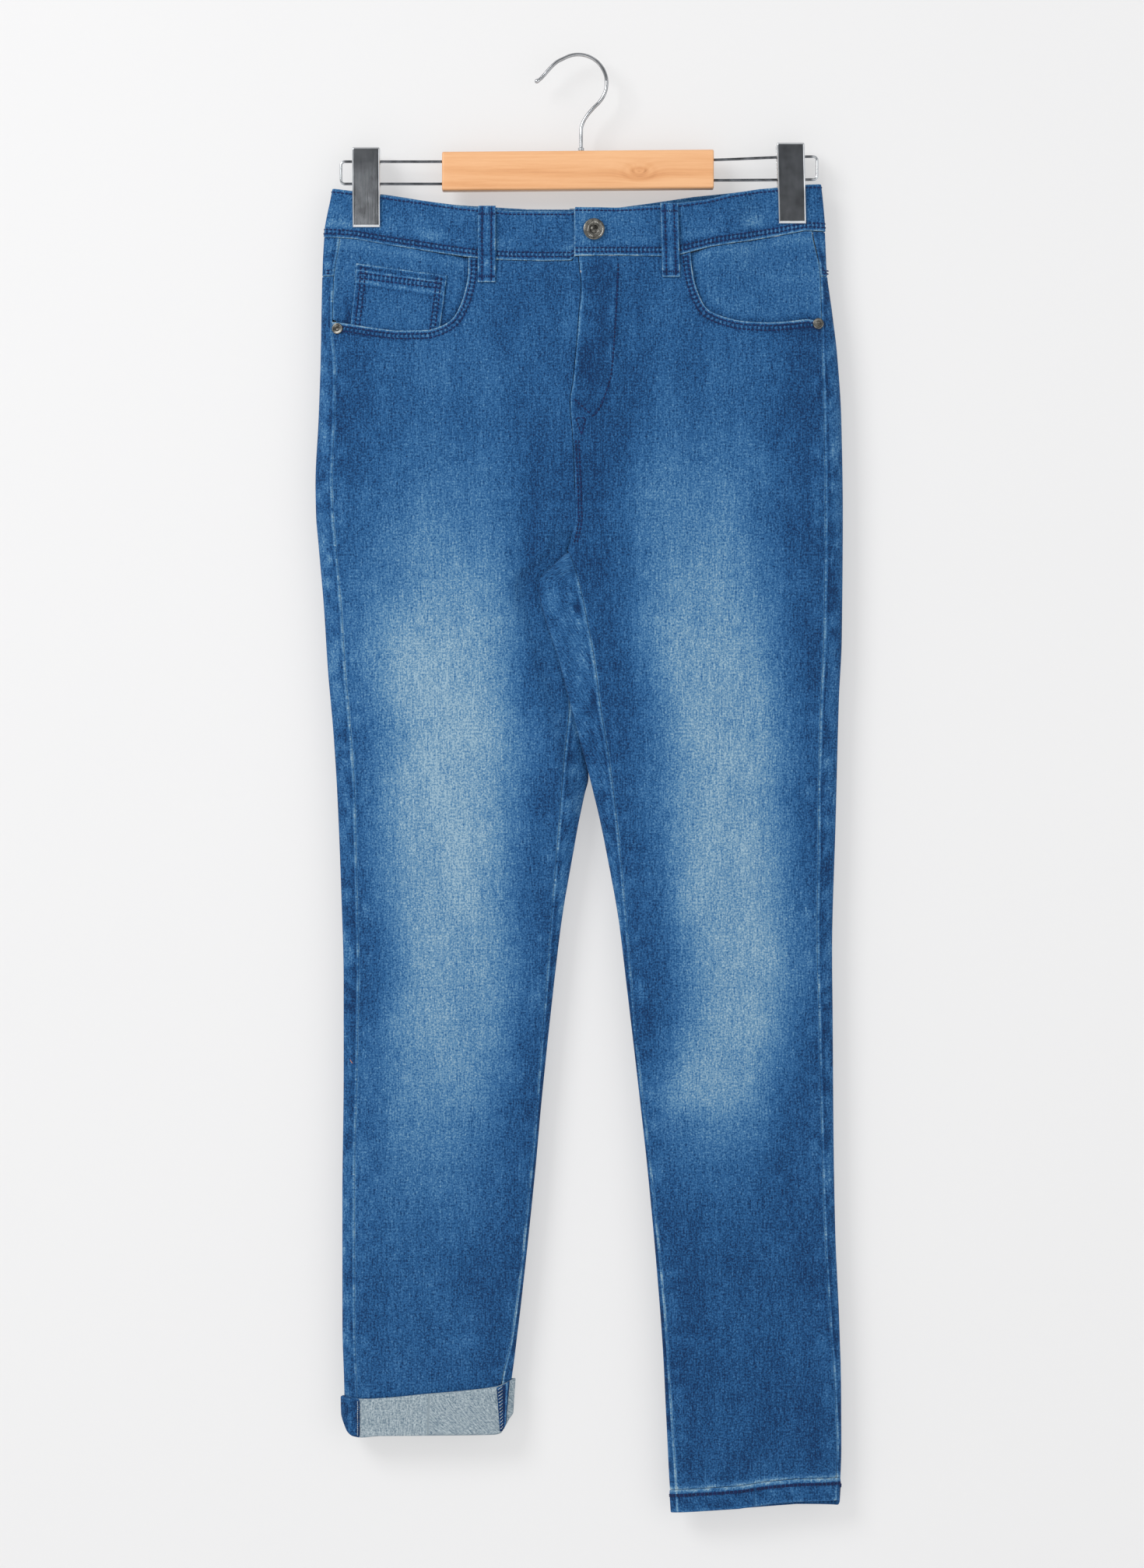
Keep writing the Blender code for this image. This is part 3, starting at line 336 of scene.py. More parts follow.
def by_face(tables, x, front):
    """The front table's value at x times front, plus the back's times 1 - front."""
    return straight(tables["front"], x) * front + straight(tables["back"], x) * (1 - front)


def numbered(rows, column):
    """A table of row number and one column of the rows."""
    return [(i, row[column]) for i, row in enumerate(rows)]


def run(points):
    """The length run along a line of points, up to each of them."""
    steps = np.linalg.norm(np.diff(points, axis=0), axis=1)
    return np.concatenate([[0], np.cumsum(steps)])


def soft(t):
    """A soft step from 0 to 1: t squared times (3 - 2 t)."""
    t = np.clip(t, 0.0, 1.0)
    return t * t * (3 - 2 * t)


def bell(far, width=1.0):
    """A bell from 1 down to 0: e to the power of minus (far / width) squared."""
    return np.exp(-(far / width) ** 2)


def mix(start, end, share):
    """The start plus a share of the way from there to the end."""
    return start + (end - start) * share


def chance(i, j, seed):
    """A fixed number from 0 to 1 for each whole i and j: the fraction of a large sine."""
    return np.mod(np.sin(i * 127.1 + j * 311.7 + seed * 74.7) * 43758.5453, 1.0)


def uneven(u, v, seed):
    """Smooth unevenness from -1 to 1: fixed numbers on whole u, v joined by soft steps."""
    u, v = np.broadcast_arrays(np.asarray(u, float), np.asarray(v, float))
    i, j = np.floor(u), np.floor(v)
    a, b = soft(u - i), soft(v - j)
    low = chance(i, j, seed) * (1 - a) + chance(i + 1, j, seed) * a
    high = chance(i, j + 1, seed) * (1 - a) + chance(i + 1, j + 1, seed) * a
    return (low * (1 - b) + high * b) * 2 - 1


def outseam_x(half, z):
    """The side seam where it shows on the front."""
    return curve(OUTER[half], z) + dict(SIDES)[half] * curve(OUTSEAM_STRIP[half], z)


def inner_x(half, face, z):
    """The inner end of a half's section: a middle seam above the crotch, a fold below it."""
    return np.where(z > CROTCH_Z, curve(RISE[face], z), curve(INNER[half], z))


def folds(face, x, z):
    """Height of the soft folds: for each, its height times a bell across it, faded at its ends."""
    height = np.zeros(np.broadcast(x, z).shape)
    for x0, z0, x1, z1, width, high in FOLDS[face]:
        length = np.hypot(x1 - x0, z1 - z0)
        dx, dz = (x1 - x0) / length, (z1 - z0) / length
        along = ((x - x0) * dx + (z - z0) * dz) / length
        across = ((x - x0) * dz - (z - z0) * dx) / width
        height += high * bell(across) * soft(along * 3) * soft((1 - along) * 2)
    return height


def seam_relief(face, x, z):
    """Ridges and puckers of the seams: a bell across each seam, rippled along it unevenly."""
    height = np.zeros(np.broadcast(x, z).shape)
    lines = []
    for half, away in SIDES:
        if face == "front":
            lines.append((outseam_x(half, z) - away * 4.5, 5.0, 0.30, 0.45, 11.0, 3.0 + away,
                          soft((-214 - z) / 12)))
            lines.append((curve(INSEAM[half], z) - away * 5.5, 5.0, 0.35, 0.5, 13.0, 7.0 + away,
                          soft((-398 - z) / 16)))
    lines.append((curve(RISE[face], z) + 4.5, 4.5, 0.3, 0.35, 10.0, 11.0,
                  soft((z + 388) / 20) * soft((-282 - z) / 20 if face == "front" else 1)))
    for line, width, ridge, pucker, period, seed, fade in lines:
        across = (x - line) / width
        ripple = uneven(z / period, np.sign(across) * 0.2, seed)
        height += fade * bell(across) * (ridge + pucker * ripple)
    return height


def relief(face, x, z):
    """How far the cloth stands out: the soft folds, the seams and a slow general unevenness."""
    turned = 1.0 if face == "front" else 5.0
    slow = 0.35 * uneven(x / 46 + z / 90, z / 70 - x / 120, 21.0 * turned)
    small = 0.16 * uneven(x / 19, z / 24, 22.0 * turned)
    return folds(face, x, z) + seam_relief(face, x, z) + slow + small


def surface(half, face, x, z, inset=0.0):
    """Points of the hanging cloth at x, z; inset goes into the cloth, and below 0 out of it.

    Each half is a flat tube: its half depth is the table's depth times the square root of
    1 - (share of the way to the fold) to a power, and the relief is added to that.
    """
    x, z = np.broadcast_arrays(np.asarray(x, float), np.asarray(z, float))
    near_clip = np.exp(-((np.abs(x) - 168.5) / 37.0) ** 4) * soft((z + 200) / 60)
    full = curve(DEPTH, z)
    full = full - (full - 2.7) * near_clip
    front, back = -full, full.copy()
    above = soft((-350 - z) / 44.0) ** 1.6
    if half == "left":
        under = np.where(z > CROTCH_Z, above, soft((z + 645) / 75))
        edge = inner_x("right", "back", z)
        back = back - under * soft((edge + 31 - x) / 26) * (2 * full - FLAP)
    else:
        shift = soft((x - inner_x("left", "front", z) + 24) / 17)
        push = TUCK * shift * soft((-374 - z) / 13) * soft((z + 645) / 50)
        front = front + push
        under = np.where(z > CROTCH_Z, above, soft((z + 428) / 32))
        back = back - under * soft((x + 40) / 30) * (2 * full - push - FLAP)
    crest = curve(CREST[half], z)
    outer = np.abs(curve(OUTER[half], z) - crest)
    inner = np.abs(inner_x(half, face, z) - crest)
    sign = -1.0 if half == "right" else 1.0
    side = (x - crest) * sign
    closed = soft((-384 - z) / 10)
    share_out = np.clip(side / outer, 0, 1)
    share_in = np.clip(-side / inner, 0, 1)
    turn = 1 - share_out ** curve(OUTER_POWER, z) - closed * share_in ** curve(INNER_POWER[half], z)
    turn = np.sqrt(np.clip(turn, 0, 1))
    middle, depth = (front + back) / 2, (back - front) / 2 - inset
    bump = relief(face, x, z) * turn ** 2
    y = middle + (-1 if face == "front" else 1) * (depth * turn + bump)
    shrink = np.where(side > 0, 1 - inset / outer, 1 - inset * closed / inner)
    return np.stack([mix(crest, x, shrink), y, z], axis=-1)


def fly_lap(x, z):
    """How far the left front stands forward over the fly: a soft step out at its edge."""
    return 1.2 * soft((36 - x) / 8) * soft((z + 300) / 14)


def leg_foot(half, face, x):
    """z where the leg panels end, just above the hem or inside the turn-up."""
    if half == "right":
        return straight(PANEL_END, x)
    return straight(HEM[face], x) + HEM_HEIGHT + 2 * SEAM_GAP


# Hem of the left leg, lower edge: x, z. Turn-up of the right leg: where the panels end in it
HEM_HEIGHT = 18.0
HEM = {
    "front": [(70, -1159.6), (99, -1157.4), (128, -1155.4), (151, -1151.8), (174, -1149.8),
              (212, -1149.4)],
    "back": [(70, -1159.8), (128, -1157.6), (174, -1153.8), (212, -1153.6)],
}
PANEL_END = [(-192, -1072.6), (-187, -1079), (-150, -1077), (-50, -1066)]

# How pale the washing left each leg: z, paleness; the pale stripe's middle: z, x, half width
FADE = {
    "right": [(-100, 0.08), (-220, 0.12), (-300, 0.2), (-370, 0.41), (-430, 0.7), (-490, 0.9),
              (-600, 0.94), (-680, 0.84), (-760, 0.74), (-820, 0.62), (-850, 0.49), (-900, 0.31),
              (-960, 0.1), (-1110, 0.06)],
    "left": [(-100, 0.1), (-220, 0.12), (-290, 0.24), (-360, 0.5), (-430, 0.68), (-500, 0.88),
             (-600, 0.9), (-760, 0.84), (-818, 0.88), (-850, 0.5), (-890, 0.2), (-960, 0.03),
             (-1170, 0)],
}
STRIPE = {
    "right": [(-100, -110, 60), (-300, -112, 64), (-450, -112, 66), (-600, -104, 56),
              (-760, -108, 52), (-850, -112, 52), (-1110, -120, 56)],
    "left": [(-100, 104, 60), (-300, 98, 60), (-420, 96, 58), (-520, 108, 54), (-640, 118, 52),
             (-760, 122, 48), (-830, 104, 46), (-900, 120, 50), (-1170, 140, 50)],
}


def washed(half, face, x, z):
    """Washed paleness and a painted fold shade: the leg's paleness times a bell across its stripe.
    """
    middle = curve([(row[0], row[1]) for row in STRIPE[half]], z)
    width = curve([(row[0], row[2]) for row in STRIPE[half]], z)
    across = (x - middle + 9 * uneven(z / 60, 0, 31.0)) / width
    pale = (0.70 if half == "right" else 0.68) * curve(FADE[half], z) * np.exp(-np.abs(across) ** 3)
    if face == "back":
        seat = 0.55 * bell(z + 330, 70) * bell(np.abs(x) - 96, 54)
        pale = pale * 0.6 * soft((-380 - z) / 100) + seat
    worn = 0.05 * uneven(x / 30, z / 42, 33.0) + 0.03 * uneven(x / 7, z / 60, 34.0)
    if face == "front":
        # painted shade: darker along the trough of one fold on the front, where shade falls
        fold_shade = bell(x + 36 - (z + 300) / 60, 12)
        worn = worn - 0.10 * fold_shade * soft((-280 - z) / 60) * soft((z + 560) / 60)
    return (0.06 if half == "right" else 0.045) + pale + worn


def seam_marks(half, face, x, z):
    """Rubbed pale marks and dark marks at the seams: bells each side of a seam, broken along it."""
    marks = np.zeros(np.broadcast(x, z).shape)
    away = dict(SIDES)[half]
    if face == "front":
        inside = soft((-400 - z) / 14)
        out_line, in_line = outseam_x(half, z), curve(INSEAM[half], z)
        for line, sign, fade, seed in ((out_line, away, 1.0, 41.0), (in_line, -away, inside, 43.0)):
            across = (x - line) * sign
            thin = bell(across - 0.3, 0.8)
            if seed == 43.0:
                thin = thin * (1 + 0.6 * soft((-700 - z) / 300))
            marks = marks + fade * thin * (0.30 + 0.20 * uneven(z / 9, 0, seed))
            broken = uneven((z + 0.5 * across) / 6.5, across / 5, seed + 1)
            marks = marks + fade * 0.17 * broken * bell(across + 6.5, 4.5)
            # painted shadow: the dark line in the groove just off each side seam and inseam
            marks = marks - fade * 0.16 * bell(across + 2.2, 1.6)
            beside = np.clip(uneven(z / 6.5, 0, seed + 2), 0, 1)
            marks = marks + fade * 0.16 * beside * bell(across - 7, 4.0)
    rise = soft((z + 390) / 10)
    across = x - curve(RISE[face], z)
    ripple = 0.5 + 0.4 * uneven(z / 8, 0, 45.0)
    marks = marks + rise * 0.26 * bell(across - 0.8, 1.1) * ripple
    marks = marks + rise * 0.07 * bell(across + 9, 7) * soft((z + 330) / 60)
    if half == "left" and face == "front":
        fly = soft((z + 292) / 10)
        stitch = curve(J_STITCH, np.clip(z, -288, -170))
        marks = (marks + fly * (0.14 + 0.1 * uneven(z / 6, 0, 46.0)) * bell(across - 0.8, 1.3)
                 + fly * 0.10 * uneven(z / 9, x / 8, 47.0) * bell(across - 9, 6)
                 - fly * 0.05 * bell(across - 18, 9))
        broken = np.clip(uneven(z / 7, x / 6, 48.0) + 0.2, 0, 1)
        marks = marks + fly * 0.15 * broken * bell(x - stitch + 3, 4)
        marks = marks - fly * 0.16 * bell(x - stitch, 0.9)
    if half == "left":
        pucker = 0.42 + 0.16 * uneven(x / 5.2, 0, 72.0)
        marks = marks + pucker * bell(z - leg_foot(half, face, x), 2.6)
    return marks


def ladder(along, off, weight):
    """What the shader needs for a double row of stitches: place along it, off it, and strength."""
    return np.stack([along, off, weight + 0 * off], axis=-1)


def half_circle_rim(outside, inside):
    """Grids drawn in at their borders, and the rings of a half circle that joins them there."""
    shift = np.zeros_like(outside)
    thick = np.linalg.norm(outside - inside, axis=-1, keepdims=True)
    for near, next_one in ((np.s_[0, :], np.s_[1, :]), (np.s_[-1, :], np.s_[-2, :]),
                           (np.s_[:, 0], np.s_[:, 1]), (np.s_[:, -1], np.s_[:, -2])):
        inward = outside[next_one] - outside[near]
        long = np.linalg.norm(inward, axis=-1, keepdims=True)
        shift[near] += inward / np.maximum(long, 1e-6) * np.minimum(thick[near] / 2, long * 0.8)
    rows, cols = outside.shape[:2]
    number = np.arange(rows * cols).reshape(rows, cols)
    rim = np.concatenate([number[0, :-1], number[:-1, -1], number[-1, :0:-1], number[:0:-1, 0]])
    top, low = (outside + shift).reshape(-1, 3), (inside + shift).reshape(-1, 3)
    middle, up = (top + low)[rim] / 2, (top - low)[rim] / 2
    rings = []
    for angle in np.radians([45, 90, 135]):
        rings.append(middle + np.cos(angle) * up - np.sin(angle) * shift.reshape(-1, 3)[rim])
    return top, low, rim, rings


def new_piece(name, points, quads, material, replaced, marks=None):
    """A smooth piece from points in millimetres and quads, turned outwards, on the one body."""
    points = points * 0.001
    a, b, c, d = (points[quads[:, k]] for k in range(4))
    volume = np.einsum("ij,ij->i", a, np.cross(b, c) + np.cross(c, d)).sum()
    if volume < 0:
        quads = quads[:, ::-1]
    mesh = bpy.data.meshes.new(name)
    mesh.vertices.add(len(points))
    mesh.vertices.foreach_set("co", points.ravel())
    mesh.loops.add(quads.size)
    mesh.loops.foreach_set("vertex_index", quads.ravel().astype(np.int32))
    mesh.polygons.add(len(quads))
    mesh.polygons.foreach_set("loop_start", np.arange(0, quads.size, 4, dtype=np.int32))
    mesh.polygons.foreach_set("use_smooth", np.ones(len(quads), bool))
    mesh.update(calc_edges=True)
    for key, values in (marks or {}).items():
        kind = "FLOAT_VECTOR" if values.ndim == 2 else "FLOAT"
        store = mesh.attributes.new(key, kind, "POINT").data
        store.foreach_set("vector" if values.ndim == 2 else "value",
                          np.ascontiguousarray(values, np.float32).ravel())
    mesh.materials.append(material)
    piece = bpy.data.objects.new(name, mesh)
    bpy.context.scene.collection.objects.link(piece)
    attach(piece, "root")
    if replaced:
        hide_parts(*replaced)
    return piece


def grid_quads(number, wrap=False):
    """Quads between the rows and columns of a grid of numbers, round again if it wraps."""
    if wrap:
        number = np.concatenate([number, number[:, :1]], axis=1)
    return np.stack([number[:-1, :-1], number[:-1, 1:], number[1:, 1:], number[1:, :-1]],
                    axis=-1).reshape(-1, 4)


def wall_quads(rim, rows, cols):
    """Quads of a closed wall: its two grids, and the strips between the rings of its rim."""
    number, size = np.arange(rows * cols).reshape(rows, cols), rows * cols
    quads = [grid_quads(number), grid_quads(number)[:, ::-1] + size]
    rings = [2 * size + k * len(rim) + np.arange(len(rim)) for k in range(3)]
    loops = [rim] + rings + [rim + size]
    for near, far in zip(loops, loops[1:]):
        quads.append(np.stack([np.roll(near, -1), near, far, np.roll(far, -1)], axis=-1))
    return np.concatenate(quads)


def cloth_wall(name, outside, inside, pale, material, sewn=None, back=1.0,
               even=False):
    """A closed layer of cloth between two grids, with rounded edges and its weave's place."""
    rows, cols = outside.shape[:2]
    top, low, rim, rings = half_circle_rim(outside, inside)
    step = np.linalg.norm(np.diff(outside, axis=1), axis=-1)
    along = np.concatenate([np.zeros((rows, 1)), np.cumsum(step, axis=1)], axis=1)
    start = along[:, [cols // 2]] - outside[:, [cols // 2], 0] * np.sign(
        outside[:, [-1], 0] - outside[:, [0], 0] + 1e-9)
    across = np.broadcast_to(along[rows // 2], along.shape) if even else along - start
    place = np.stack([across, -outside[..., 2], 0 * along], axis=-1) * 0.001
    place = place.reshape(-1, 3)
    sewn = np.zeros((rows, cols, 3)) if sewn is None else sewn
    sewn = np.broadcast_to(sewn, (rows, cols, 3)).reshape(-1, 3)
    pale = np.broadcast_to(pale, (rows, cols)).reshape(-1)
    marks = {"cloth": np.concatenate([place, place] + [place[rim]] * 3),
             "pale": np.concatenate([pale, pale] + [pale[rim]] * 3),
             "reverse": np.concatenate([0 * pale, 0 * pale + back] + [0 * pale[rim]] * 3),
             "sewn": np.concatenate([sewn, 0 * sewn] + [0 * sewn[rim]] * 3)}
    points = np.concatenate([top, low] + rings)
    quads = wall_quads(rim, rows, cols)
    return new_piece(name + "_cloth", points, quads, material, [name], marks)


def denim(name, shades, reverse, contrast=1.0):
    """Woven denim on the attributes: fine streaks down the warp, slubs, flecks and twill lines.

    Paleness is the piece's own plus the streaks, and a ramp of shades turns it into a colour.
    Across a double row of stitches it also waves once for each stitch, which draws rungs there.
    """
    material, tree, shader = new_material(name)
    cloth, sewn = (node(tree, "Attribute", attribute_name=key).outputs["Vector"]
                   for key in ("cloth", "sewn"))
    pale, inner = (node(tree, "Attribute", attribute_name=key).outputs["Fac"]
                   for key in ("pale", "reverse"))

    def grain(across, down, detail, shift):
        """Noise with so many waves a metre across the cloth and down it."""
        place = shifted(tree, cloth, Scale=(across, down, 1.0), Location=(shift, shift, 0.0))
        return noise(tree, place, 1.0, detail, Roughness=0.6)

    def weigh(value, amount, base):
        """The base plus the amount times how far a value is over a half."""
        centred = math(tree, "SUBTRACT", value, 0.5)
        return math(tree, "MULTIPLY_ADD", centred, amount * contrast, base)

    split = node(tree, "SeparateXYZ", {0: sewn}).outputs
    off = math(tree, "POWER", split["Y"], 2.0)

    def hump(sharp):
        """The stitches' strength times e to the power of minus sharp times off squared."""
        curved = math(tree, "EXPONENT", math(tree, "MULTIPLY", off, -sharp))
        return math(tree, "MULTIPLY", curved, split["Z"])

    rung = math(tree, "SINE", math(tree, "MULTIPLY", split["X"], 2 * np.pi / STITCH_PITCH))
    rung = math(tree, "MULTIPLY_ADD", rung, 0.22, 0.12)
    rung = math(tree, "MULTIPLY", rung, hump(0.45))
    rung = math(tree, "MULTIPLY_ADD", hump(0.07), -0.15, rung)

    streak, slub = grain(900.0, 110.0, 2.0, 3.1), grain(330.0, 22.0, 3.0, 7.7)
    cross, mottle = grain(150.0, 1000.0, 2.0, 1.9), grain(42.0, 34.0, 5.0, 5.3)
    speck = grain(700.0, 640.0, 3.0, 9.2)
    fleck = node(tree, "MapRange", {"Value": grain(1000.0, 900.0, 1.0, 2.4), "From Min": 0.6,
                                    "From Max": 0.78, "To Min": 0.5, "To Max": 1.0}).outputs[0]
    tone = 0.0
    for value, amount in ((streak, 0.62), (slub, 0.26), (cross, 0.24), (mottle, 0.24),
                          (speck, 1.25), (fleck, 0.55)):
        tone = weigh(value, amount, tone)
    strong = math(tree, "MULTIPLY_ADD", pale, 0.7, 0.9)
    tone = math(tree, "MULTIPLY_ADD", tone, strong, pale)
    tone = math(tree, "ADD", math(tree, "ADD", tone, rung), 0.12)
    face = shaded(tree, tone, shades)
    under = shaded(tree, weigh(streak, 1.4, weigh(speck, 2.4, 0.5)),
                   [(0, reverse[0]), (1, reverse[1])])
    both = node(tree, "Mix", {"Factor": inner, "A": face, "B": under}, data_type="RGBA")

    lines = shifted(tree, cloth, Scale=(1000.0, 1000.0, 1.0), Rotation=(0.0, 0.0, -0.46))
    twill = node(tree, "TexWave", {"Vector": lines, "Scale": 0.36, "Distortion": 0.8,
                                   "Detail": 1.0}).outputs["Fac"]
    height = math(tree, "MULTIPLY_ADD", twill, 0.35, streak)
    height = math(tree, "MULTIPLY_ADD", speck, 0.8, height)
    height = math(tree, "MULTIPLY_ADD", rung, 5.0, height)
    weave = bumps(tree, height, 0.5, 0.00035)
    rough = node(tree, "MapRange", {"Value": speck, "To Min": 0.78, "To Max": 0.95}).outputs[0]
    feed(tree, shader, {
        "Base Color": both.outputs["Result"], "Roughness": rough, "Specular IOR Level": 0.2,
        "Sheen Weight": 0.1, "Sheen Roughness": 0.5, "Sheen Tint": (0.75, 0.86, 1.0, 1.0),
        "Normal": bumps(tree, mottle, 0.35, 0.0012, Normal=weave)})
    return material


STITCH_PITCH = 3.3
BLUE = [(0.0, (5, 40, 80)), (0.12, (13, 59, 103)), (0.30, (33, 85, 135)),
        (0.48, (57, 106, 152)), (0.66, (88, 132, 168)), (0.86, (116, 150, 175)),
        (1.0, (148, 176, 193))]
REVERSE = ((104, 124, 140), (196, 208, 212))
washed_denim = denim("washed_denim", BLUE, REVERSE)

EDGE = np.array([0, 0.9, 1.9, 3.2, 4.8])


def across_row(width, count):
    """Places over a row in mm: close together near both of its edges, and even between them."""
    width = np.asarray(width)[:, None]
    even = 6.6 + (width - 13.2) * np.linspace(0, 1, count)[None, :]
    left = np.broadcast_to(EDGE, (len(width), len(EDGE)))
    return np.concatenate([left, even, width - left[:, ::-1]], axis=1)


# Rows that all four leg panels share: z at the side seam, at the front and at the back middle
LEVELS = [(-212, -236, -250), (-245, -262, -274), (-278, -288, -297), (-310, -314, -319),
          (-340, -340, -341), (-362, -361, -362), (-378, -377, -378), (-388, -387, -387),
          (-394, -394, -394)]
LEG_END = {"right": -1075.0, "left": -1138.0}
POCKET_ROWS, NEAR_POCKET, LEG_ROWS = 60, 90, 246
TURN_OVER = 45      # height over which the rows turn to the slope of the leg's end


def pocket_edge(half, t):
    """x and z on a pocket opening at t from 0 to 10, a smooth curve through its rows."""
    rows = POCKET[half]
    return curve(numbered(rows, 0), t), curve(numbered(rows, 1), t)


for half, away in SIDES:
    t = np.linspace(0, 10, POCKET_ROWS + 1)
    x_edge, z_edge = pocket_edge(half, t)
    z_rise = straight(list(enumerate(POCKET_RISE_Z)), t)
    down = np.concatenate([np.linspace(i, i + 1, 11)[1:] for i in range(8)])
    z_out, z_in = straight(numbered(LEVELS, 0), down), straight(numbered(LEVELS, 1), down)
    foot = LEG_END[half]
    below = np.linspace(CROTCH_Z, foot, LEG_ROWS)[1:]
    z_out, z_in = np.concatenate([z_edge, z_out, below]), np.concatenate([z_rise, z_in, below])
    z_out[POCKET_ROWS:POCKET_ROWS + 11] = np.linspace(z_edge[-1], LEVELS[1][0], 11)
    x_out = outseam_x(half, z_out)
    x_out[:POCKET_ROWS] = x_edge[:POCKET_ROWS]
    seam = np.where(z_in >= CROTCH_Z, curve(RISE["front"], z_in), curve(INSEAM[half], z_in))
    lap = 1.3 * soft((-340 - z_in) / 20) * (z_in > CROTCH_Z - 0.1) if half == "left" else 0.0
    x_out, seam = x_out + away * SEAM_GAP, seam - away * (SEAM_GAP - lap)
    steps = across_row(np.abs(seam - x_out), 60)
    share = steps / np.abs(seam - x_out)[:, None]
    x = x_out[:, None] + away * steps
    fall = np.interp(np.arange(len(z_out)), [36, 44, 60, 71], [1, 0.35, 0.35, 1])
    z = z_out[:, None] + (z_in - z_out)[:, None] * share ** fall[:, None]
    head = straight(BAND_BOTTOM["front"], x[0])
    lift = np.clip(1 - np.arange(len(z)) / 6, 0, 1)[:, None]
    z = z + lift * (head - 2 * SEAM_GAP - z[0])
    fall = soft((foot + TURN_OVER - z) / TURN_OVER)
    z = z + fall * (leg_foot(half, "front", x) - foot)
    grid = []
    for inset in (0.0, WALL):
        points = surface(half, "front", x, z, inset)
        if half == "left":
            points[..., 1] -= fly_lap(x, z)
        grid.append(points)
    pale = washed(half, "front", x, z) + seam_marks(half, "front", x, z)
    line_x, line_z = pocket_edge(half, np.linspace(0, 10, 261))
    reach = np.concatenate([[0], np.cumsum(np.hypot(np.diff(line_x), np.diff(line_z)))])
    near = np.s_[:NEAR_POCKET]
    far = np.hypot(x[near][..., None] - line_x, z[near][..., None] - line_z)
    along, far = reach[far.argmin(axis=-1)], far.min(axis=-1)
    sewn = np.zeros(x.shape + (3,))
    sewn[near] = ladder(along, far - 4.4, far < 9)
    pale[near] += (0.54 + 0.18 * uneven(along / 5, 0, 49.0)) * bell(far, 1.1)
    panel = cloth_wall("front_" + half, grid[0], grid[1], pale, washed_denim, sewn)
    cut = (0.21, 0.92, 0.143) if half == "right" else (0.215, 0.985, 0.154)

# Back leg panels: they wrap round both sides of each leg, so the side seam and the inseam lie
# a little way onto the front. The middle seam runs up to the yoke.

YOKE_SIDE_Z = -175.5
YOKE_MIDDLE_Z = -221.0


def spread(q):
    """Turns an even step along the section into a share of its width, finer at the fold."""
    return 1 - (1 - q) ** 1.7


def spread_back(share):
    """The step whose share of the width this is."""
    return 1 - (1 - np.clip(share, 0, 1)) ** (1 / 1.7)


def round_section(half, q, z, inset):
    """Points at steps q round a half: 0 is the back crest, -1 the outer fold, 1 the inner."""
    crest = curve(CREST[half], z)
    along = np.abs(q)
    share = spread(np.where(along <= 1, along, 2 - along))
    points = {}
    for face in ("front", "back"):
        end = np.where(q < 0, curve(OUTER[half], z), inner_x(half, face, z))
        points[face] = surface(half, face, mix(crest, end, share), z, inset)
    return np.where((along <= 1)[..., None], points["back"], points["front"])


def steps_round(half, z_out, z_in, count_out, count_in):
    """Steps of a back panel's rows, from the side seam round the back to the inner edge."""
    crest = curve(CREST[half], z_out)
    seam = outseam_x(half, z_out) + (-SEAM_GAP if half == "right" else SEAM_GAP)
    start = -(2 - spread_back((seam - crest) / (curve(OUTER[half], z_out) - crest)))
    crest = curve(CREST[half], z_in)
    above = spread_back(1 - SEAM_GAP / np.abs(inner_x(half, "back", z_in) - crest))
    seam = curve(INSEAM[half], z_in) + (SEAM_GAP if half == "right" else -SEAM_GAP)
    below = 2 - spread_back((seam - crest) / (curve(INNER[half], z_in) - crest))
    end = np.where(z_in >= CROTCH_Z, above, below)
    return np.concatenate([start[:, None] * np.linspace(1, 0, count_out),
                           end[:, None] * np.linspace(0, 1, count_in)[1:]], axis=1)


def row_height(q, z_out, z_in):
    """z along a row that runs from the side seam to the middle, by the place across the half."""
    across = np.where(q < 0, 0.5 - 0.5 * spread(np.clip(-q, 0, 1)),
                      0.5 + 0.5 * spread(np.clip(q, 0, 1)))
    return z_out[:, None] + (z_in - z_out)[:, None] * across


def section_marks(half, q, points):
    """Paleness round a leg: the front's where a row lies on the front, else the back's."""
    x, z = points[..., 0], points[..., 2]
    front = washed(half, "front", x, z) + seam_marks(half, "front", x, z)
    front = front + 0.09 + 0.15 * np.clip(uneven(z / 10, x / 6, 36.0), -0.3, 1)
    back = washed(half, "back", x, z) + seam_marks(half, "back", x, z)
    return np.where(np.abs(q) > 1, front, back)


for half in ("right", "left"):
    foot = LEG_END[half]
    top = [(YOKE_SIDE_Z - SEAM_GAP, 0, YOKE_MIDDLE_Z - SEAM_GAP), (-193, 0, -235)] + LEVELS
    down = np.linspace(0, len(top) - 1, 92)
    z_out, z_in = straight(numbered(top, 0), down), straight(numbered(top, 2), down)
    below = np.linspace(CROTCH_Z, foot, LEG_ROWS)[1:]
    z_out, z_in = np.concatenate([z_out, below]), np.concatenate([z_in, below])
    q = steps_round(half, z_out, z_in, 46, 52)
    z = row_height(q, z_out, z_in)
    x = round_section(half, q, z, 0.0)[..., 0]
    front = soft((np.abs(q) - 0.9) / 0.2)
    end = leg_foot(half, "front", x) * front + leg_foot(half, "back", x) * (1 - front)
    z = z + soft((foot + TURN_OVER - z) / TURN_OVER) * (end - foot)
    outside = round_section(half, q, z, 0.0)
    panel = cloth_wall("back_" + half, outside, round_section(half, q, z, WALL),
                       section_marks(half, q, outside), washed_denim)
    cut = (0.255, 0.90, 0.179) if half == "right" else (0.255, 0.965, 0.193)

# Yokes: two shaped pieces of the same denim between the waistband and the back panels, drawn
# round to the front at the sides. Each is stitched down where it meets the panel below.

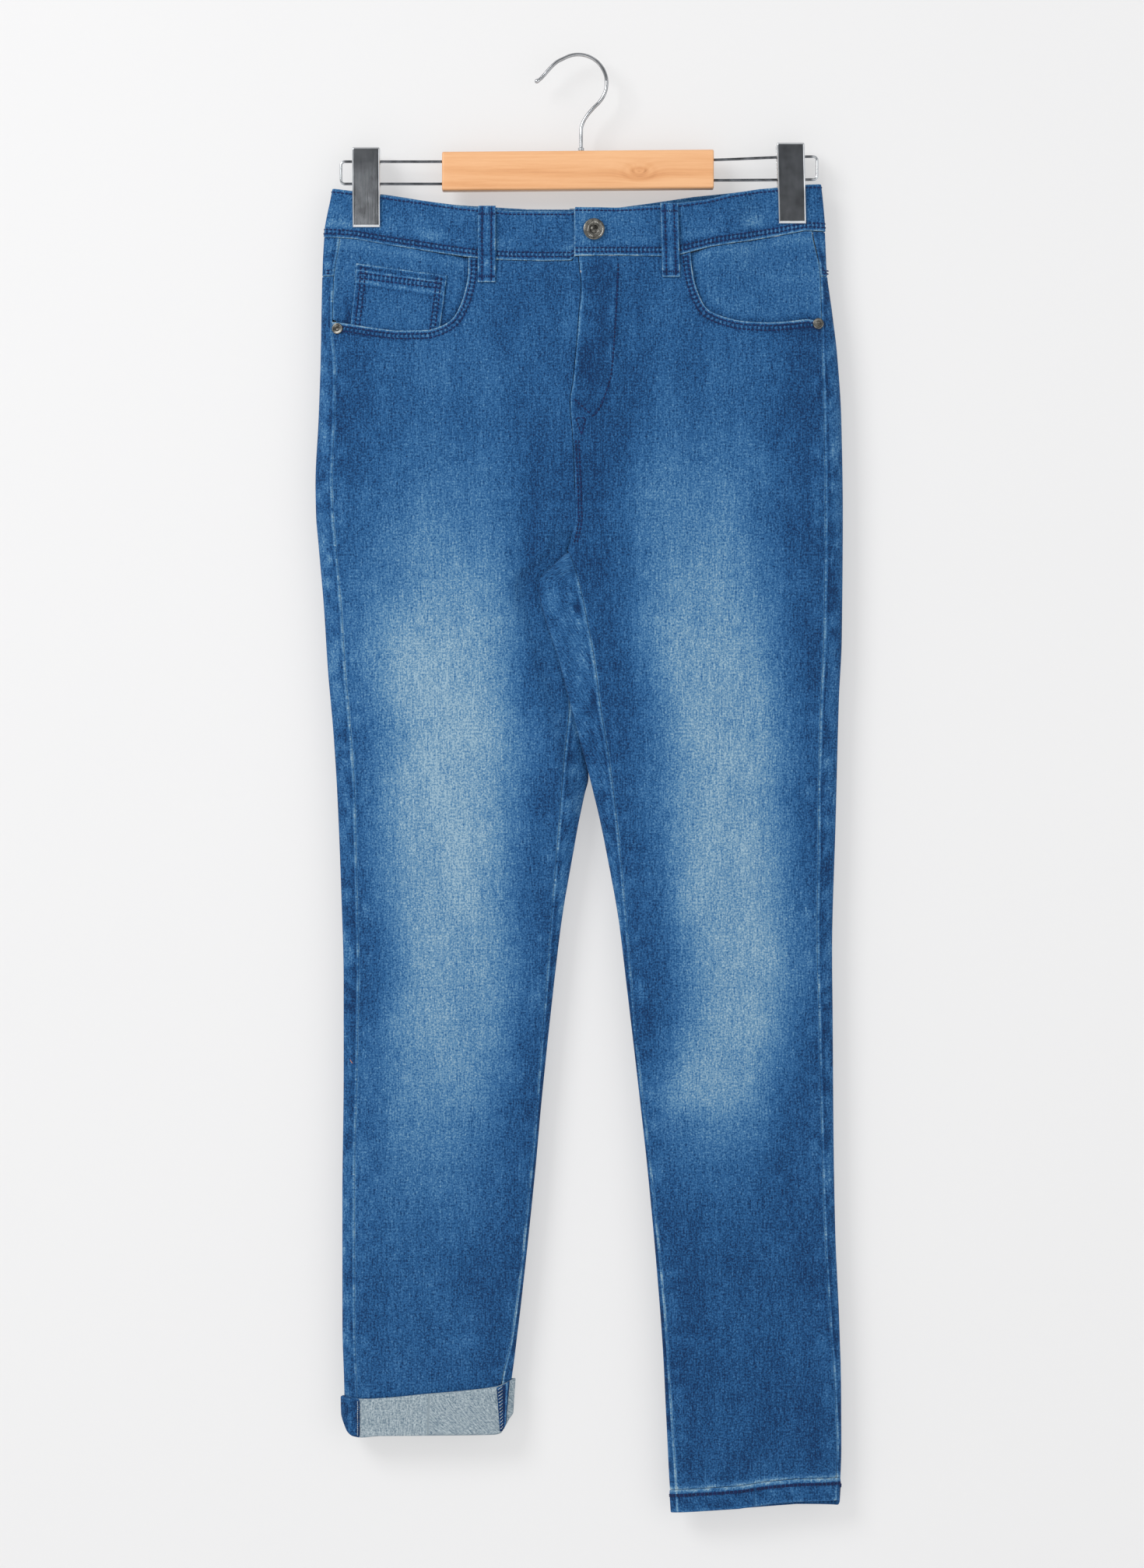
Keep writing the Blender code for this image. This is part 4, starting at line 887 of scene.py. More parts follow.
YOKE_ROWS = 19
for half in ("right", "left"):
    q = steps_round(half, np.linspace(-144.0, -175.4, YOKE_ROWS), np.full(YOKE_ROWS, -190.0),
                    46, 40)
    q = np.where(q > 0, q * spread_back(0.9985) / q[:, -1:], q)
    side, middle = (np.full(YOKE_ROWS, z + SEAM_GAP) for z in (YOKE_SIDE_Z, YOKE_MIDDLE_Z))
    foot = row_height(q, side, middle)
    x = round_section(half, q, foot, 0.0)[..., 0]
    front = soft((np.abs(q) - 0.9) / 0.2)
    head = by_face(BAND_BOTTOM, x, front) - 4 * SEAM_GAP
    z = mix(head, foot, np.linspace(0, 1, YOKE_ROWS)[:, None])
    outside = round_section(half, q, z, 0.0)
    x, z = outside[..., 0], outside[..., 2]
    from_foot = z - foot
    pale = section_marks(half, q, outside) + 0.3 * bell(from_foot, 0.9)
    sewn = ladder(x, from_foot - 3.4, 1.0)
    panel = cloth_wall("yoke_" + half, outside, round_section(half, q, z, WALL), pale,
                       washed_denim, sewn)

# Pocket facings: the denim seen in each pocket opening, sewn to the pocket bag behind the
# front panel. It keeps the cloth's unfaded blue, with painted shadow under the opening's edge.

FACING_DEPTH = 3.1


def facing_depth(x, z):
    """How far a facing lies behind the panel's face: least where the waistband holds it."""
    return FACING_DEPTH - 2.5 * soft((np.abs(x) - 91) / 13) * (1 - soft((-150 - z) / 35))


for half, away in SIDES:
    part = np.concatenate([np.linspace(0, 0.64, 23), np.linspace(0.66, 0.82, 25),
                           np.linspace(0.85, 1, 6)])[:, None]
    share = np.concatenate([np.linspace(0, 0.1, 12), np.linspace(0.12, 1, 40)])[None, :]
    low = -236.0
    z_side = straight(BAND_BOTTOM["front"], -away * 190) - 0.4
    start = outseam_x(half, mix(z_side, low, part)) + away * 0.3
    x = mix(start, -away * (74 + 14 * part), share)
    head = straight(BAND_BOTTOM["front"], x) - 0.4
    z = mix(head, low, part)
    edge_x, edge_z = pocket_edge(half, np.linspace(0, 10, 261))
    opening = np.interp(-np.abs(x), -np.abs(edge_x[160:])[::-1], edge_z[160:][::-1])
    rise = (1 - soft((x - start) * away / 6)) * soft((z - opening - 0.5) / 1.5)
    depth = facing_depth(x, z) * (1 - rise) + 0.2 * rise
    near = np.hypot(x[..., None] - edge_x, z[..., None] - edge_z).min(axis=-1)
    # painted shadow: darker near the pocket opening's edge
    pale = (0.20 + 0.05 * uneven(x / 22, z / 18, 51.0) - 0.14 * bell(near, 4)
            + 0.10 * bell(z - head + 5, 3.5)
            + (0.24 + 0.12 * uneven(z / 8, 0, 50.0)) * bell((x - start) * away, 1.2))
    if half == "right":
        # painted shadow: a dark patch left of the coin pocket and a dark line beside its right edge
        pale = pale - 0.24 * np.exp(-((x + 185) / 4) ** 2 - ((z + 204) / 13) ** 2)
        beside = x + 103.5 - 0.1365 * (z + 175.8)
        pale = pale - 0.14 * bell(beside, 1.7) * soft((-174 - z) / 5)
    panel = cloth_wall("pocket_facing_" + half, surface(half, "front", x, z, depth),
                       surface(half, "front", x, z, depth + WALL), pale, washed_denim)

# Coin pocket: a small patch sewn on the right facing. Its top is turned under in a narrow hem,
# and its edges have been rubbed pale.

COIN_WALL = 0.9
COIN_HEM = 16.4
part = np.concatenate([[0, 0.012, 0.028, 0.046, 0.062], np.linspace(0.075, 0.32, 25),
                       np.linspace(0.345, 1, 24)])[:, None]
coin_rows = part[:, 0]
share = np.concatenate([[0, 0.01, 0.025, 0.045], np.linspace(0.07, 0.93, 28),
                        [0.955, 0.975, 0.99, 1]])[None, :]
x = -(177 + 7 * part) + (72.5 - 0.4 * part) * share
z = (-165.3 - 10.5 * share) * (1 - part) + (-226 - 4 * share) * part
below_top = part * (60.7 - 6.5 * share)
from_side = np.minimum(share, 1 - share) * 72
hem_band = soft((COIN_HEM - below_top) / 1.2)
puckers = 0.14 * uneven(x / 3.2, 0, 52.0) * bell(below_top - 11, 5.5)
puckers = puckers + 0.12 * uneven(z / 3.2, 0, 53.0) * bell(from_side - 3.5, 3)
depth = facing_depth(x, z) - COIN_WALL - 0.45 - 0.18 * hem_band - puckers
worn = 0.7 + 0.4 * uneven(x / 5, z / 5, 59.0)
# the dark line just below the hem's foot is painted shadow
pale = (0.15 + 0.04 * uneven(x / 18, z / 15, 54.0) + 0.5 * worn * bell(from_side, 0.8)
        + 0.55 * worn * bell(below_top, 0.9)
        + 0.50 * worn * bell(below_top - 5.5, 0.7)
        - 0.12 * bell(below_top - 3.2, 1.5)
        + 0.26 * worn * bell(below_top - 14.0, 1.7) + 0.5 * puckers
        - 0.14 * bell(below_top - COIN_HEM - 0.7, 0.8))
off_row = (below_top - 9.0) * 0.95
in_hem = np.abs(off_row) < np.abs(from_side - 5.7)
sewn = ladder(np.where(in_hem, 72 * share + 0 * part, below_top),
              np.where(in_hem, off_row, from_side - 5.7), 1.0)
coin_grid = surface("right", "front", x, z, depth)
coin_cloth = cloth_wall("coin_pocket", coin_grid,
                        surface("right", "front", x, z, facing_depth(x, z) - 0.45), pale,
                        washed_denim, sewn)

# Fly: the shield behind the closed fly, and the woven zip tape between it and the left front.
# Both are hidden when the fly is closed, and seen from inside the waist.

tape = denim("zip_tape", [(0.0, (16, 22, 36)), (0.5, (26, 36, 58)), (1.0, (48, 62, 90))], REVERSE,
             0.5)
for name, x0, x1, low, depth, thick, cloth in (
    ("fly_shield", -14.0, 34.0, -288.0, 1.75, 1.2, washed_denim),
    ("fly_zip", 8.0, 24.0, -282.0, 0.75, 0.7, tape),
):
    x, z = np.meshgrid(np.linspace(x0, x1, 20), np.linspace(-165.5, low, 48))
    x = x - 7.0 * soft((-200 - z) / 90)
    outside = surface("left", "front", x, z, depth)
    pale = 0.2 + 0.04 * uneven(x / 14, z / 14, 55.0)
    layer = cloth_wall(name, outside, surface("left", "front", x, z, depth + thick), pale, cloth)
    cut = (0.049, 0.124, 0.006) if name == "fly_shield" else (0.0165, 0.118, 0.0019)

# Back pockets: plain denim patches with a pointed foot and a hemmed mouth. Their edges are
# folded in and sewn flat on the back panels.

BACK_POCKET = [(36, -246), (170, -230), (158, -362), (102, -389), (45, -370)]
back_pocket_grid = {}
for half, away in SIDES:
    (ax, az), (bx, bz), (cx, cz), (dx, dz), (ex, ez) = BACK_POCKET
    steps = np.concatenate([[0, 0.006, 0.014, 0.026], np.linspace(0.04, 0.96, 46),
                            [0.974, 0.986, 0.994, 1]])
    across, down = steps[None, :], steps[:, None]
    foot_z = np.where(across < 0.5, ez + (dz - ez) * across * 2, mix(dz, cz, across * 2 - 1))
    x = mix(ax, bx, across) * (1 - down) + mix(ex, cx, across) * down
    z = mix(az, bz, across) * (1 - down) + foot_z * down
    from_edge = np.minimum(np.minimum(across, 1 - across) * 125, (1 - down) * 130)
    from_top = down * 130
    puckers = 0.16 * uneven(x / 4, z / 4, 56.0) * bell(from_edge - 4, 3.5)
    puckers = puckers + 0.16 * uneven(x / 4, 0, 57.0) * bell(from_top - 9, 5)
    x = -away * x
    pale = (0.22 + 0.24 * bell(z + 320, 50) + 0.05 * uneven(x / 24, z / 24, 58.0)
            + 0.36 * bell(from_edge, 0.9) + 0.36 * bell(from_top, 0.9)
            + 0.16 * bell(from_top - 16, 1) + 0.6 * puckers)
    sewn = ladder(z + 0 * from_edge, np.minimum(from_edge, 9) - 5.2, (from_edge < 9) * 1.0)
    outside = surface(half, "back", x, z, -1.5 - puckers - 0.2 * soft((17 - from_top) / 1.4))
    back_pocket_grid[half] = outside
    panel = cloth_wall("back_pocket_" + half, outside, surface(half, "back", x, z, -0.3), pale,
                       washed_denim, sewn)

# Waistband: one folded strip of denim round the waist, two layers with lining between. Its left
# end laps over the right end at the front, and a double row of stitches runs along its foot.

BAND_WALL, BAND_HEIGHT = 2.4, 40
BAND_PROUD = 0.5    # how far the waistband stands out of the panels
LAP_RISE = 1.4      # how far its left end stands forward where it laps over
BAND_TOP = {
    "front": [(-202, -105), (-178, -108), (-154, -111), (-126, -115.6), (-98, -119.8),
              (-79, -121.9), (-55, -124.3), (-3.5, -124.4), (-2.5, -121.3), (31, -121.6),
              (65, -119.6), (79, -118), (103, -115), (121, -110.5), (144.5, -106.2),
              (180, -102.6), (200, -101.6)],
    "back": [(-202, -105), (-154, -110), (-98, -117), (-40, -120.6), (0, -120.8), (31, -119.4),
             (61, -115.3), (92, -110.7), (113.5, -108.6), (150, -105), (200, -101.6)],
}
round_out = spread(np.linspace(0, 1, 30))
CREST_X, TO_FOLD = 100, {"right": -98.5, "left": 95.5}
LEFT, RIGHT = CREST_X + TO_FOLD["left"] * round_out, -CREST_X + TO_FOLD["right"] * round_out
BAND_PATH = [
    ("left", "front", np.concatenate([[-3.2, -2.3, -1.2, 0.2, 2.0], np.linspace(4, 98, 38)])),
    ("left", "front", LEFT), ("left", "back", LEFT[-2::-1]),
    ("left", "back", np.linspace(97.5, 0, 40)), ("right", "back", np.linspace(-2.5, -97.5, 39)),
    ("right", "back", RIGHT), ("right", "front", RIGHT[-2::-1]),
    ("right", "front", np.linspace(-97.5, 24, 50))]
band_down = np.concatenate([[0, 0.02, 0.045, 0.075], np.linspace(0.12, 0.88, 15),
                            [0.91, 0.94, 0.965, 0.985, 1]])


def band_points(inset, down):
    """The waistband's face at a share of its height: its path round the waist at that height."""
    rows = []
    for half, side, xs in BAND_PATH:
        z = straight(BAND_TOP[side], xs) * (1 - down) + straight(BAND_BOTTOM[side], xs) * down
        reach = (curve(OUTER[half], z) - curve(CREST[half], z)) / TO_FOLD[half]
        beyond = np.abs(xs) > CREST_X
        x = np.where(beyond, np.sign(xs) * (CREST_X + (np.abs(xs) - CREST_X) * reach), xs)
        sewn = bell((1 - down) * BAND_HEIGHT - 4.4, 3.2)
        rub = 0.16 * uneven(xs / 4.2, 0, 61.0) * sewn * (inset < 0)
        points = surface(half, side, x, z, inset - rub)
        if side == "front" and half == "right":
            points[:, 1] += 1.6 * soft((points[:, 0] + 16) / 12)
        if side == "front" and half == "left":
            points[:, 1] -= LAP_RISE * soft((30 - points[:, 0]) / 16)
        rows.append(points)
    return np.concatenate(rows)


band_grid = np.array([band_points(-BAND_PROUD, down) for down in band_down])
inside = np.array([band_points(BAND_WALL - BAND_PROUD, down) for down in band_down])
length = run(band_grid[12])
height = band_down[:, None] * BAND_HEIGHT
pale = 0.16 + 0.06 * uneven(length / 34, height / 20, 62.0)
worn = np.clip(uneven(length / 16, height / 9, 63.0) + 0.3, 0, 1)
pale = pale + 0.22 * worn * bell(height - 28 - 3 * uneven(length / 40, 0, 64.0), 5)
pale = pale + 0.22 * bell(height, 1.1)
foot = 0.50 + 0.24 * uneven(length / 4.5, 0, 65.0)
pale = pale + foot * bell(BAND_HEIGHT - height, 1.1)
pale = pale + 0.36 * bell(length, 1.3) + 0.12 * bell(length - 8, 4)
sewn = ladder(length + 0 * height, BAND_HEIGHT - height - 4.7 + 0 * length, 1.0)
band = cloth_wall("waistband", band_grid, inside, pale, washed_denim, sewn, 0.0, even=True)

# Belt loops: strips folded in three and stitched along both sides, each held at its ends by a
# bar of close stitches. They stand a little off the waistband between those bars.

LOOP_WIDTH = 14.0
BELT_LOOPS = [
    ("belt_loop_front_right", "front", -72.6, -72.8, -120.4, -181.0),
    ("belt_loop_front_left", "front", 72.2, 73.8, -118.2, -177.0),
    ("belt_loop_side_right", "back", -134.0, -135.0, -113.4, -170.5),
    ("belt_loop_side_left", "back", 134.0, 135.0, -107.6, -165.0),
    ("belt_loop_back", "back", 0.0, 0.0, -119.6, -180.0),
]
loop_grid = {}
for name, face, x_top, x_foot, z_top, z_foot in BELT_LOOPS:
    half = "right" if x_top < 0 else "left"
    down = np.concatenate([[0, 0.012, 0.03], np.linspace(0.055, 0.945, 32), [0.97, 0.988, 1]])
    down = down[:, None]
    side = np.array([-0.5, -0.46, -0.41, -0.34, -0.26, -0.18, -0.09, 0, 0.09, 0.18, 0.26, 0.34,
                     0.41, 0.46, 0.5])[None, :]
    x = mix(x_top, x_foot, down) + LOOP_WIDTH * side
    z = mix(z_top, z_foot, down) + 0 * side
    off = BAND_PROUD + 0.3 + 1.9 * np.sin(np.pi * np.clip(down * 1.25, 0, 1))
    off = np.where(down < 0.8, np.maximum(off, 0.8), 0.8)
    ridge = 0.3 * bell(side, 0.13) - 0.2 * bell(np.abs(side) - 0.27, 0.06)
    pinch = 0.5 * (bell(down - 0.09, 0.03) + bell(down - 0.93, 0.03))
    rub = 0.14 * uneven(z / 3.6, side * 5, 66.0)
    outside = surface(half, face, x, z, -off - 1.5 - ridge - rub + pinch)
    loop_grid[name] = outside
    worn = 0.6 + 0.5 * uneven(z / 5, side * 2, 68.0)
    pale = (0.12 + 0.05 * uneven(z / 12, side * 3, 67.0)
            + 0.52 * worn * bell(0.5 - abs(side), 0.08)
            + 0.30 * worn * bell(side, 0.12)
            - 0.14 * bell(np.abs(side) - 0.27, 0.07) - 0.1 * pinch
            + 0.5 * bell(1 - down, 0.015) + 0.2 * bell(down, 0.012))
    loop = cloth_wall(name, outside, surface(half, face, x, z, -off), pale, washed_denim)

# Hem of the left leg: the raw edge turned up twice inside and stitched round, so the cloth there
# is three layers thick and puckered.

AROUND = np.linspace(-2, 2, 281)[:-1]


def leg_ring(half, offset, height):
    """A closed ring round a leg, off its outer face by the offset, with z from height(x, front)."""
    level = np.full(len(AROUND), -1075.0 if half == "right" else -1150.0)
    x = round_section(half, AROUND, level, -offset)[:, 0]
    front = soft((np.abs(AROUND) - 0.92) / 0.16) * soft((2.08 - np.abs(AROUND)) / 0.16)
    front = np.maximum(front, np.abs(AROUND) > 1.5)
    return round_section(half, AROUND, height(x, front), -offset)


def between(keys, step):
    """Rings between key rings at even steps: each is a straight mix of its two neighbours."""
    rings = []
    for near, far in zip(keys, keys[1:] + keys[:1]):
        count = max(1, int(round(np.linalg.norm(far - near, axis=1).mean() / step)))
        rings += [near + (far - near) * k / count for k in range(count)]
    return np.array(rings)


def cloth_ring(name, rings, pale, reverse, material):
    """A closed band of cloth through rings, the last joined to the first."""
    count, around = rings.shape[:2]
    number = np.arange(count * around).reshape(count, around)
    number = np.concatenate([number, number[:1]], axis=0)
    step = np.linalg.norm(np.roll(rings, -1, axis=1) - rings, axis=-1)
    place = np.stack([np.cumsum(step, axis=1), -rings[..., 2], 0 * step], axis=-1) * 0.001
    marks = {"cloth": place.reshape(-1, 3), "pale": pale.reshape(-1),
             "reverse": reverse.reshape(-1)}
    return new_piece(name + "_cloth", rings.reshape(-1, 3), grid_quads(number, wrap=True), material,
                     [name], marks)


keys = []
for offset, up in ((0.0, HEM_HEIGHT), (0.3, HEM_HEIGHT - 0.6), (0.65, HEM_HEIGHT - 3.5),
                   (0.7, 1.0), (0.5, 0.3), (0.1, 0.0), (-0.6, 0.0), (-1.4, 0.1), (-2.0, 0.6),
                   (-2.1, HEM_HEIGHT - 1), (-1.6, HEM_HEIGHT)):
    keys.append(leg_ring("left", offset, lambda x, front, up=up: by_face(HEM, x, front) + up))
rings = between(keys, 1.6)
outer = (np.arange(len(rings)) < 13)[:, None]
x, z = rings[..., 0], rings[..., 2]
turn = run(rings[4])[None, :]
rise = z - z.min(axis=0, keepdims=True)
pucker = uneven((turn + rise * 0.7) / 5.2, rise / 14, 71.0) * bell(rise - 9, 7)
rings[..., 1] += outer * -0.45 * pucker * np.where(np.abs(AROUND) > 1, 1, -1)[None, :]
front = np.abs(AROUND)[None, :] > 1
pale = (0.08 + 0.18 * pucker * outer + 0.20 * bell(rise, 1.4)
        + (0.46 + 0.2 * uneven(turn / 5.2, 0, 72.0)) * bell(rise - 17.6, 2.2)
        - 0.12 * bell(rise - 13.6, 1.4))
for line in (curve(INSEAM["left"], z), outseam_x("left", z)):
    pale = pale + 0.45 * front * bell(x - line, 0.9)
hem = cloth_ring("hem_left", rings, pale * np.where(outer, 1.0, 0.3), 0 * x, washed_denim)
hem_ring = rings

# Turn-up of the right leg: the leg's end folded up twice outside, so the cloth's pale reverse
# shows. The side seam's allowance is on its outer end and the inseam's on its inner end.

CUFF = [(-192, -1067.6, -1077.6), (-189.5, -1066.8, -1081.6), (-187, -1066.4, -1088.4),
        (-184, -1066.6, -1094.8), (-180, -1067.2, -1097.8), (-173, -1067.9, -1098.8),
        (-158, -1067.2, -1097.4), (-124, -1064, -1097), (-86, -1060.6, -1096.8),
        (-66, -1058.1, -1096.7), (-61, -1056.4, -1095.6), (-57.5, -1054.8, -1090.5),
        (-53.5, -1052.8, -1083.2), (-50, -1052, -1079.8)]


def cuff_z(x, share):
    """z on the turn-up at a share of its height, from smooth curves for its top and its foot."""
    top = curve([(a, b) for a, b, c in CUFF], x)
    low = curve([(a, c) for a, b, c in CUFF], x)
    return mix(low, top, share)


keys = []
for offset, share, lift in (
    (3.0, 0, 1.6), (3.1, 0.5, 0), (3.0, 1, -1.0), (2.8, 1, -0.3), (2.3, 1, 0), (1.4, 1, 0),
    (0.9, 1, -0.3), (0.65, 1, -0.8), (0.6, 0, 2.4), (0.3, 0, 1.9), (0.0, 0, 2.4), (0.0, None, 0),
    (-WALL, None, 0), (-WALL, 0, 1.4), (-0.9, 0, 0.6), (-0.4, 0, 0.2), (0.6, 0, 0.0),
    (1.6, 0, 0.0), (2.4, 0, 0.3), (2.8, 0, 0.8),
):
    if share is None:
        keys.append(leg_ring("right", offset, lambda x, front: straight(PANEL_END, x) - 0.3))
    else:
        keys.append(leg_ring("right", offset, lambda x, front, s=share, u=lift: cuff_z(x, s) + u))
rings = between(keys, 1.8)
shown = (np.arange(len(rings)) < 26)[:, None]
x, z = rings[..., 0], rings[..., 2]
turn = run(rings[4])[None, :]
wave = 0.5 * uneven(turn / 26, z / 20, 73.0) + 0.2 * uneven(turn / 9, z / 8, 74.0)
rings[..., 1] += shown * wave * np.where(np.abs(AROUND) > 1, -1, 1)[None, :] * 0.8
pale = 0.1 + 0.1 * uneven(z / 4, x / 3, 77.0)
inner_out = np.where((x < -174.2) & (rings[..., 1] < 2), 0.0, 1.0)
cuff_cloth = denim("reverse_of_denim", BLUE, ((90, 112, 128), (180, 192, 197)))
cuff = cloth_ring("cuff_right", rings, pale, inner_out, cuff_cloth)

ALLOWANCE_FACE, ALLOWANCE_BACK = -4.2, -3.3     # insets: the strips lie outside the turn-up
allowance = {}
for name, corners, ridge_at, tone, cut in (
    ("cuff_allowance_outer", (-183.4, -170.9, -183.0, -170.9), 0.42, 0.0, (0.0125, 0.034, 0.0004)),
    ("cuff_allowance_inner", (-65.2, -61.2, -67.8, -58.0), 0.74, -0.06, (0.01, 0.034, 0.0003)),
):
    share, across = np.meshgrid(np.linspace(0.05, 0.97, 34), np.linspace(0, 1, 25), indexing="ij")
    x = mix(corners[0], corners[1], across) * (1 - share)
    x = x + mix(corners[2], corners[3], across) * share
    z = cuff_z(surface("right", "front", x, -1080.0 + 0 * x, ALLOWANCE_FACE)[..., 0], share)
    ridge = bell(across - ridge_at, 0.09)
    lump = 0.2 * uneven(z / 3, x / 5, 75.0) + 0.35 * ridge
    outside = surface("right", "front", x, z, ALLOWANCE_FACE - lump)
    pale = tone + 0.10 * uneven(z / 4, x / 3, 76.0) + 0.15 * bell(share - 0.97, 0.04)
    # painted shadow: the dark line near the strip's far edge
    pale = pale + (0.5 if ridge_at > 0.5 else 0.14) * ridge - 0.12 * bell(across - 0.94, 0.08)
    allowance[name] = outside
    inside = surface("right", "front", x, z, ALLOWANCE_BACK)
    strip = cloth_wall(name, outside, inside, pale, washed_denim)

# Topstitching: navy thread in running stitches, one mesh for each part that it holds. Every
# stitch is a short rounded bar that dips into the cloth at both ends.


def thread(name, shade):
    """Twisted polyester thread: fine oblique strands, a soft sheen and slight unevenness."""
    material, tree, shader = new_material(name)
    place = on_object(tree)
    turned = shifted(tree, place, Rotation=(0.0, 0.7, 0.6))
    strand = node(tree, "TexWave", {"Vector": turned, "Scale": 900.0}).outputs["Fac"]
    both = math(tree, "MULTIPLY_ADD", strand, 0.3, noise(tree, place, 220.0, 2.0))
    tint = shaded(tree, both, [(0.3, [s * 0.72 for s in shade]),
                               (0.95, [min(s * 1.3, 250) for s in shade])])
    feed(tree, shader, {"Base Color": tint, "Roughness": 0.6, "Specular IOR Level": 0.25,
                        "Sheen Weight": 0.05, "Normal": bumps(tree, strand, 0.5, 0.0002)})
    return material


navy_thread = thread("navy_thread", (13, 31, 76))
pale_thread = thread("pale_thread", (176, 188, 196))


def strip_ends(loop):
    """Quads that close a ring of an even count of numbers with strips from side to side."""
    half_way = len(loop) // 2
    return np.array([(loop[i], loop[i + 1], loop[-2 - i], loop[-1 - i])
                     for i in range(half_way - 1)])


def tube_quads(number):
    """Quads of a closed tube: between its rings, and over its first and last ring."""
    return np.concatenate([grid_quads(number, wrap=True), strip_ends(number[0])[:, ::-1],
                           strip_ends(number[-1])])


def bars(name, places, outs, radius, material, sink=0.3, slot="denim_dark"):
    """Many rounded bars: a hexagon along each one's points, thinner and sunk at its ends."""
    count, long = places.shape[:2]
    along = np.gradient(places, axis=1)
    along /= np.linalg.norm(along, axis=-1, keepdims=True)
    side = np.cross(along, outs)
    side /= np.linalg.norm(side, axis=-1, keepdims=True)
    up = np.cross(side, along)
    t = np.linspace(-1, 1, long)
    wide = radius * np.sqrt(1 - 0.8 * t ** 4)[None, :, None, None]
    rise = (radius * 0.35 - sink * t ** 4)[None, :, None, None]
    turn = np.radians(np.arange(6) * 60)
    circle = np.cos(turn)[:, None] * side[:, :, None] + 0.8 * np.sin(turn)[:, None] * up[:, :, None]
    points = places[:, :, None] + rise * up[:, :, None] + wide * circle
    number = np.arange(long * 6).reshape(long, 6)
    one = tube_quads(number)
    quads = (one[None] + (np.arange(count) * long * 6)[:, None, None]).reshape(-1, 4)
    return new_piece(name, points.reshape(-1, 3), quads, material, [])


def along_path(path, outs, pitch, long):
    """Places and outward directions of running stitches set every pitch along a path."""
    reach = run(path)
    count = int(reach[-1] / pitch)
    middle = (np.arange(count) + 0.5) * reach[-1] / count
    middle = middle + 0.12 * uneven(np.arange(count) * 1.7, 0, 81.0)
    at = middle[:, None] + long / 2 * np.linspace(-1, 1, 5)
    places = np.stack([np.interp(at, reach, path[:, k]) for k in range(3)], axis=-1)
    ways = np.stack([np.interp(at, reach, outs[:, k]) for k in range(3)], axis=-1)
    return places, ways


def grid_path(grid, row, col):
    """Points of a grid at fractional rows and columns, and the direction square to it there.

    The direction points out of the flat tube: to the front where y is below 0, else to the back.
    """
    def at(r, c):
        """A mix of the grid's four points round a fractional row and column."""
        r = np.clip(r, 0, grid.shape[0] - 1.001)
        c = np.clip(c, 0, grid.shape[1] - 1.001)
        i, j = np.floor(r).astype(int), np.floor(c).astype(int)
        a, b = (r - i)[:, None], (c - j)[:, None]
        return (grid[i, j] * (1 - a) * (1 - b) + grid[i + 1, j] * a * (1 - b)
                + grid[i, j + 1] * (1 - a) * b + grid[i + 1, j + 1] * a * b)
    row, col = np.broadcast_arrays(np.asarray(row, float), np.asarray(col, float))
    points = at(row, col)
    square = np.cross(at(row, col + 0.5) - at(row, col - 0.5),
                      at(row + 0.5, col) - at(row - 0.5, col))
    square /= np.linalg.norm(square, axis=-1, keepdims=True)
    return points, square * np.sign(square[:, 1:2] * np.where(points[:, 1:2] < 0, -1.0, 1.0))


def panel_path(half, face, x, z):
    """Points on a panel's face at x, z, and the direction square to it there."""
    def at(x, z):
        """The panel's face at x, z, with the fly's lap."""
        points = surface(half, face, x, z)
        if half == "left" and face == "front":
            points[..., 1] -= fly_lap(x, z)
        return points
    square = np.cross(at(x + 0.5, z) - at(x - 0.5, z), at(x, z + 0.5) - at(x, z - 0.5))
    square /= np.linalg.norm(square, axis=-1, keepdims=True)
    return at(x, z), square * (1.0 if face == "front" else -1.0)


def sew(name, paths, pitch=STITCH_PITCH, long=2.7):
    """One mesh of running stitches along several paths of points and outward directions."""
    rows = [along_path(path, outs, pitch, long) for path, outs in paths]
    places, outs = (np.concatenate([row[k] for row in rows]) for k in (0, 1))
    return bars(name, places, outs, 0.6, navy_thread)


def sew_each(name, bits, radius, material, **more):
    """One mesh of separate short stitches, each with its own points and outward directions."""
    places, outs = (np.array([bit[k] for bit in bits]) for k in (0, 1))
    return bars(name, places, outs, radius, material, **more)


cols = np.linspace(0.6, band_grid.shape[1] - 1.6, 1200)
band_rows = np.interp((0.07, 0.838, 0.922), band_down, np.arange(len(band_down)))
sew("stitching_waistband", [grid_path(band_grid, row, cols) for row in band_rows])
paths = []
for half, away in SIDES:
    edge_x, edge_z = pocket_edge(half, np.linspace(0.1, 9.7, 300))
    dx, dz = np.gradient(edge_x), np.gradient(edge_z)
    long = np.hypot(dx, dz)
    for gap in (2.6, 6.2):
        x = edge_x - gap * away * dz / long
        z = edge_z + gap * away * dx / long
        paths.append(panel_path(half, "front", x, z))
sew("stitching_front_pockets", paths)

z = np.linspace(-166, -288, 120)
paths = [panel_path("left", "front", curve(J_STITCH, z), z)]
for x0, z0, x1, z1 in ((-5.5, -273.7, 7.4, -285.5), (-4.0, -289.0, 4.0, -289.0),
                       (-4.0, -289.0, 0.5, -302.0), (4.0, -289.0, 0.5, -302.0)):
    share = np.linspace(0, 1, 30)
    paths.append(panel_path("left", "front", x0 + 2 + (x1 - x0) * share, mix(z0, z1, share)))
sew("stitching_fly", paths)

paths = []
for below in (7.0, 11.0):
    row = np.interp(below / 57.5, coin_rows, np.arange(len(coin_rows)))
    cols = np.linspace(3.2, coin_grid.shape[1] - 4.2, 200)
    paths.append(grid_path(coin_grid, row, cols))
for col in (3.4, 5.1, coin_grid.shape[1] - 4.4, coin_grid.shape[1] - 6.1):
    rows = np.linspace(2, coin_grid.shape[0] - 1.2, 200)
    paths.append(grid_path(coin_grid, rows, col))
sew("stitching_coin_pocket", paths)

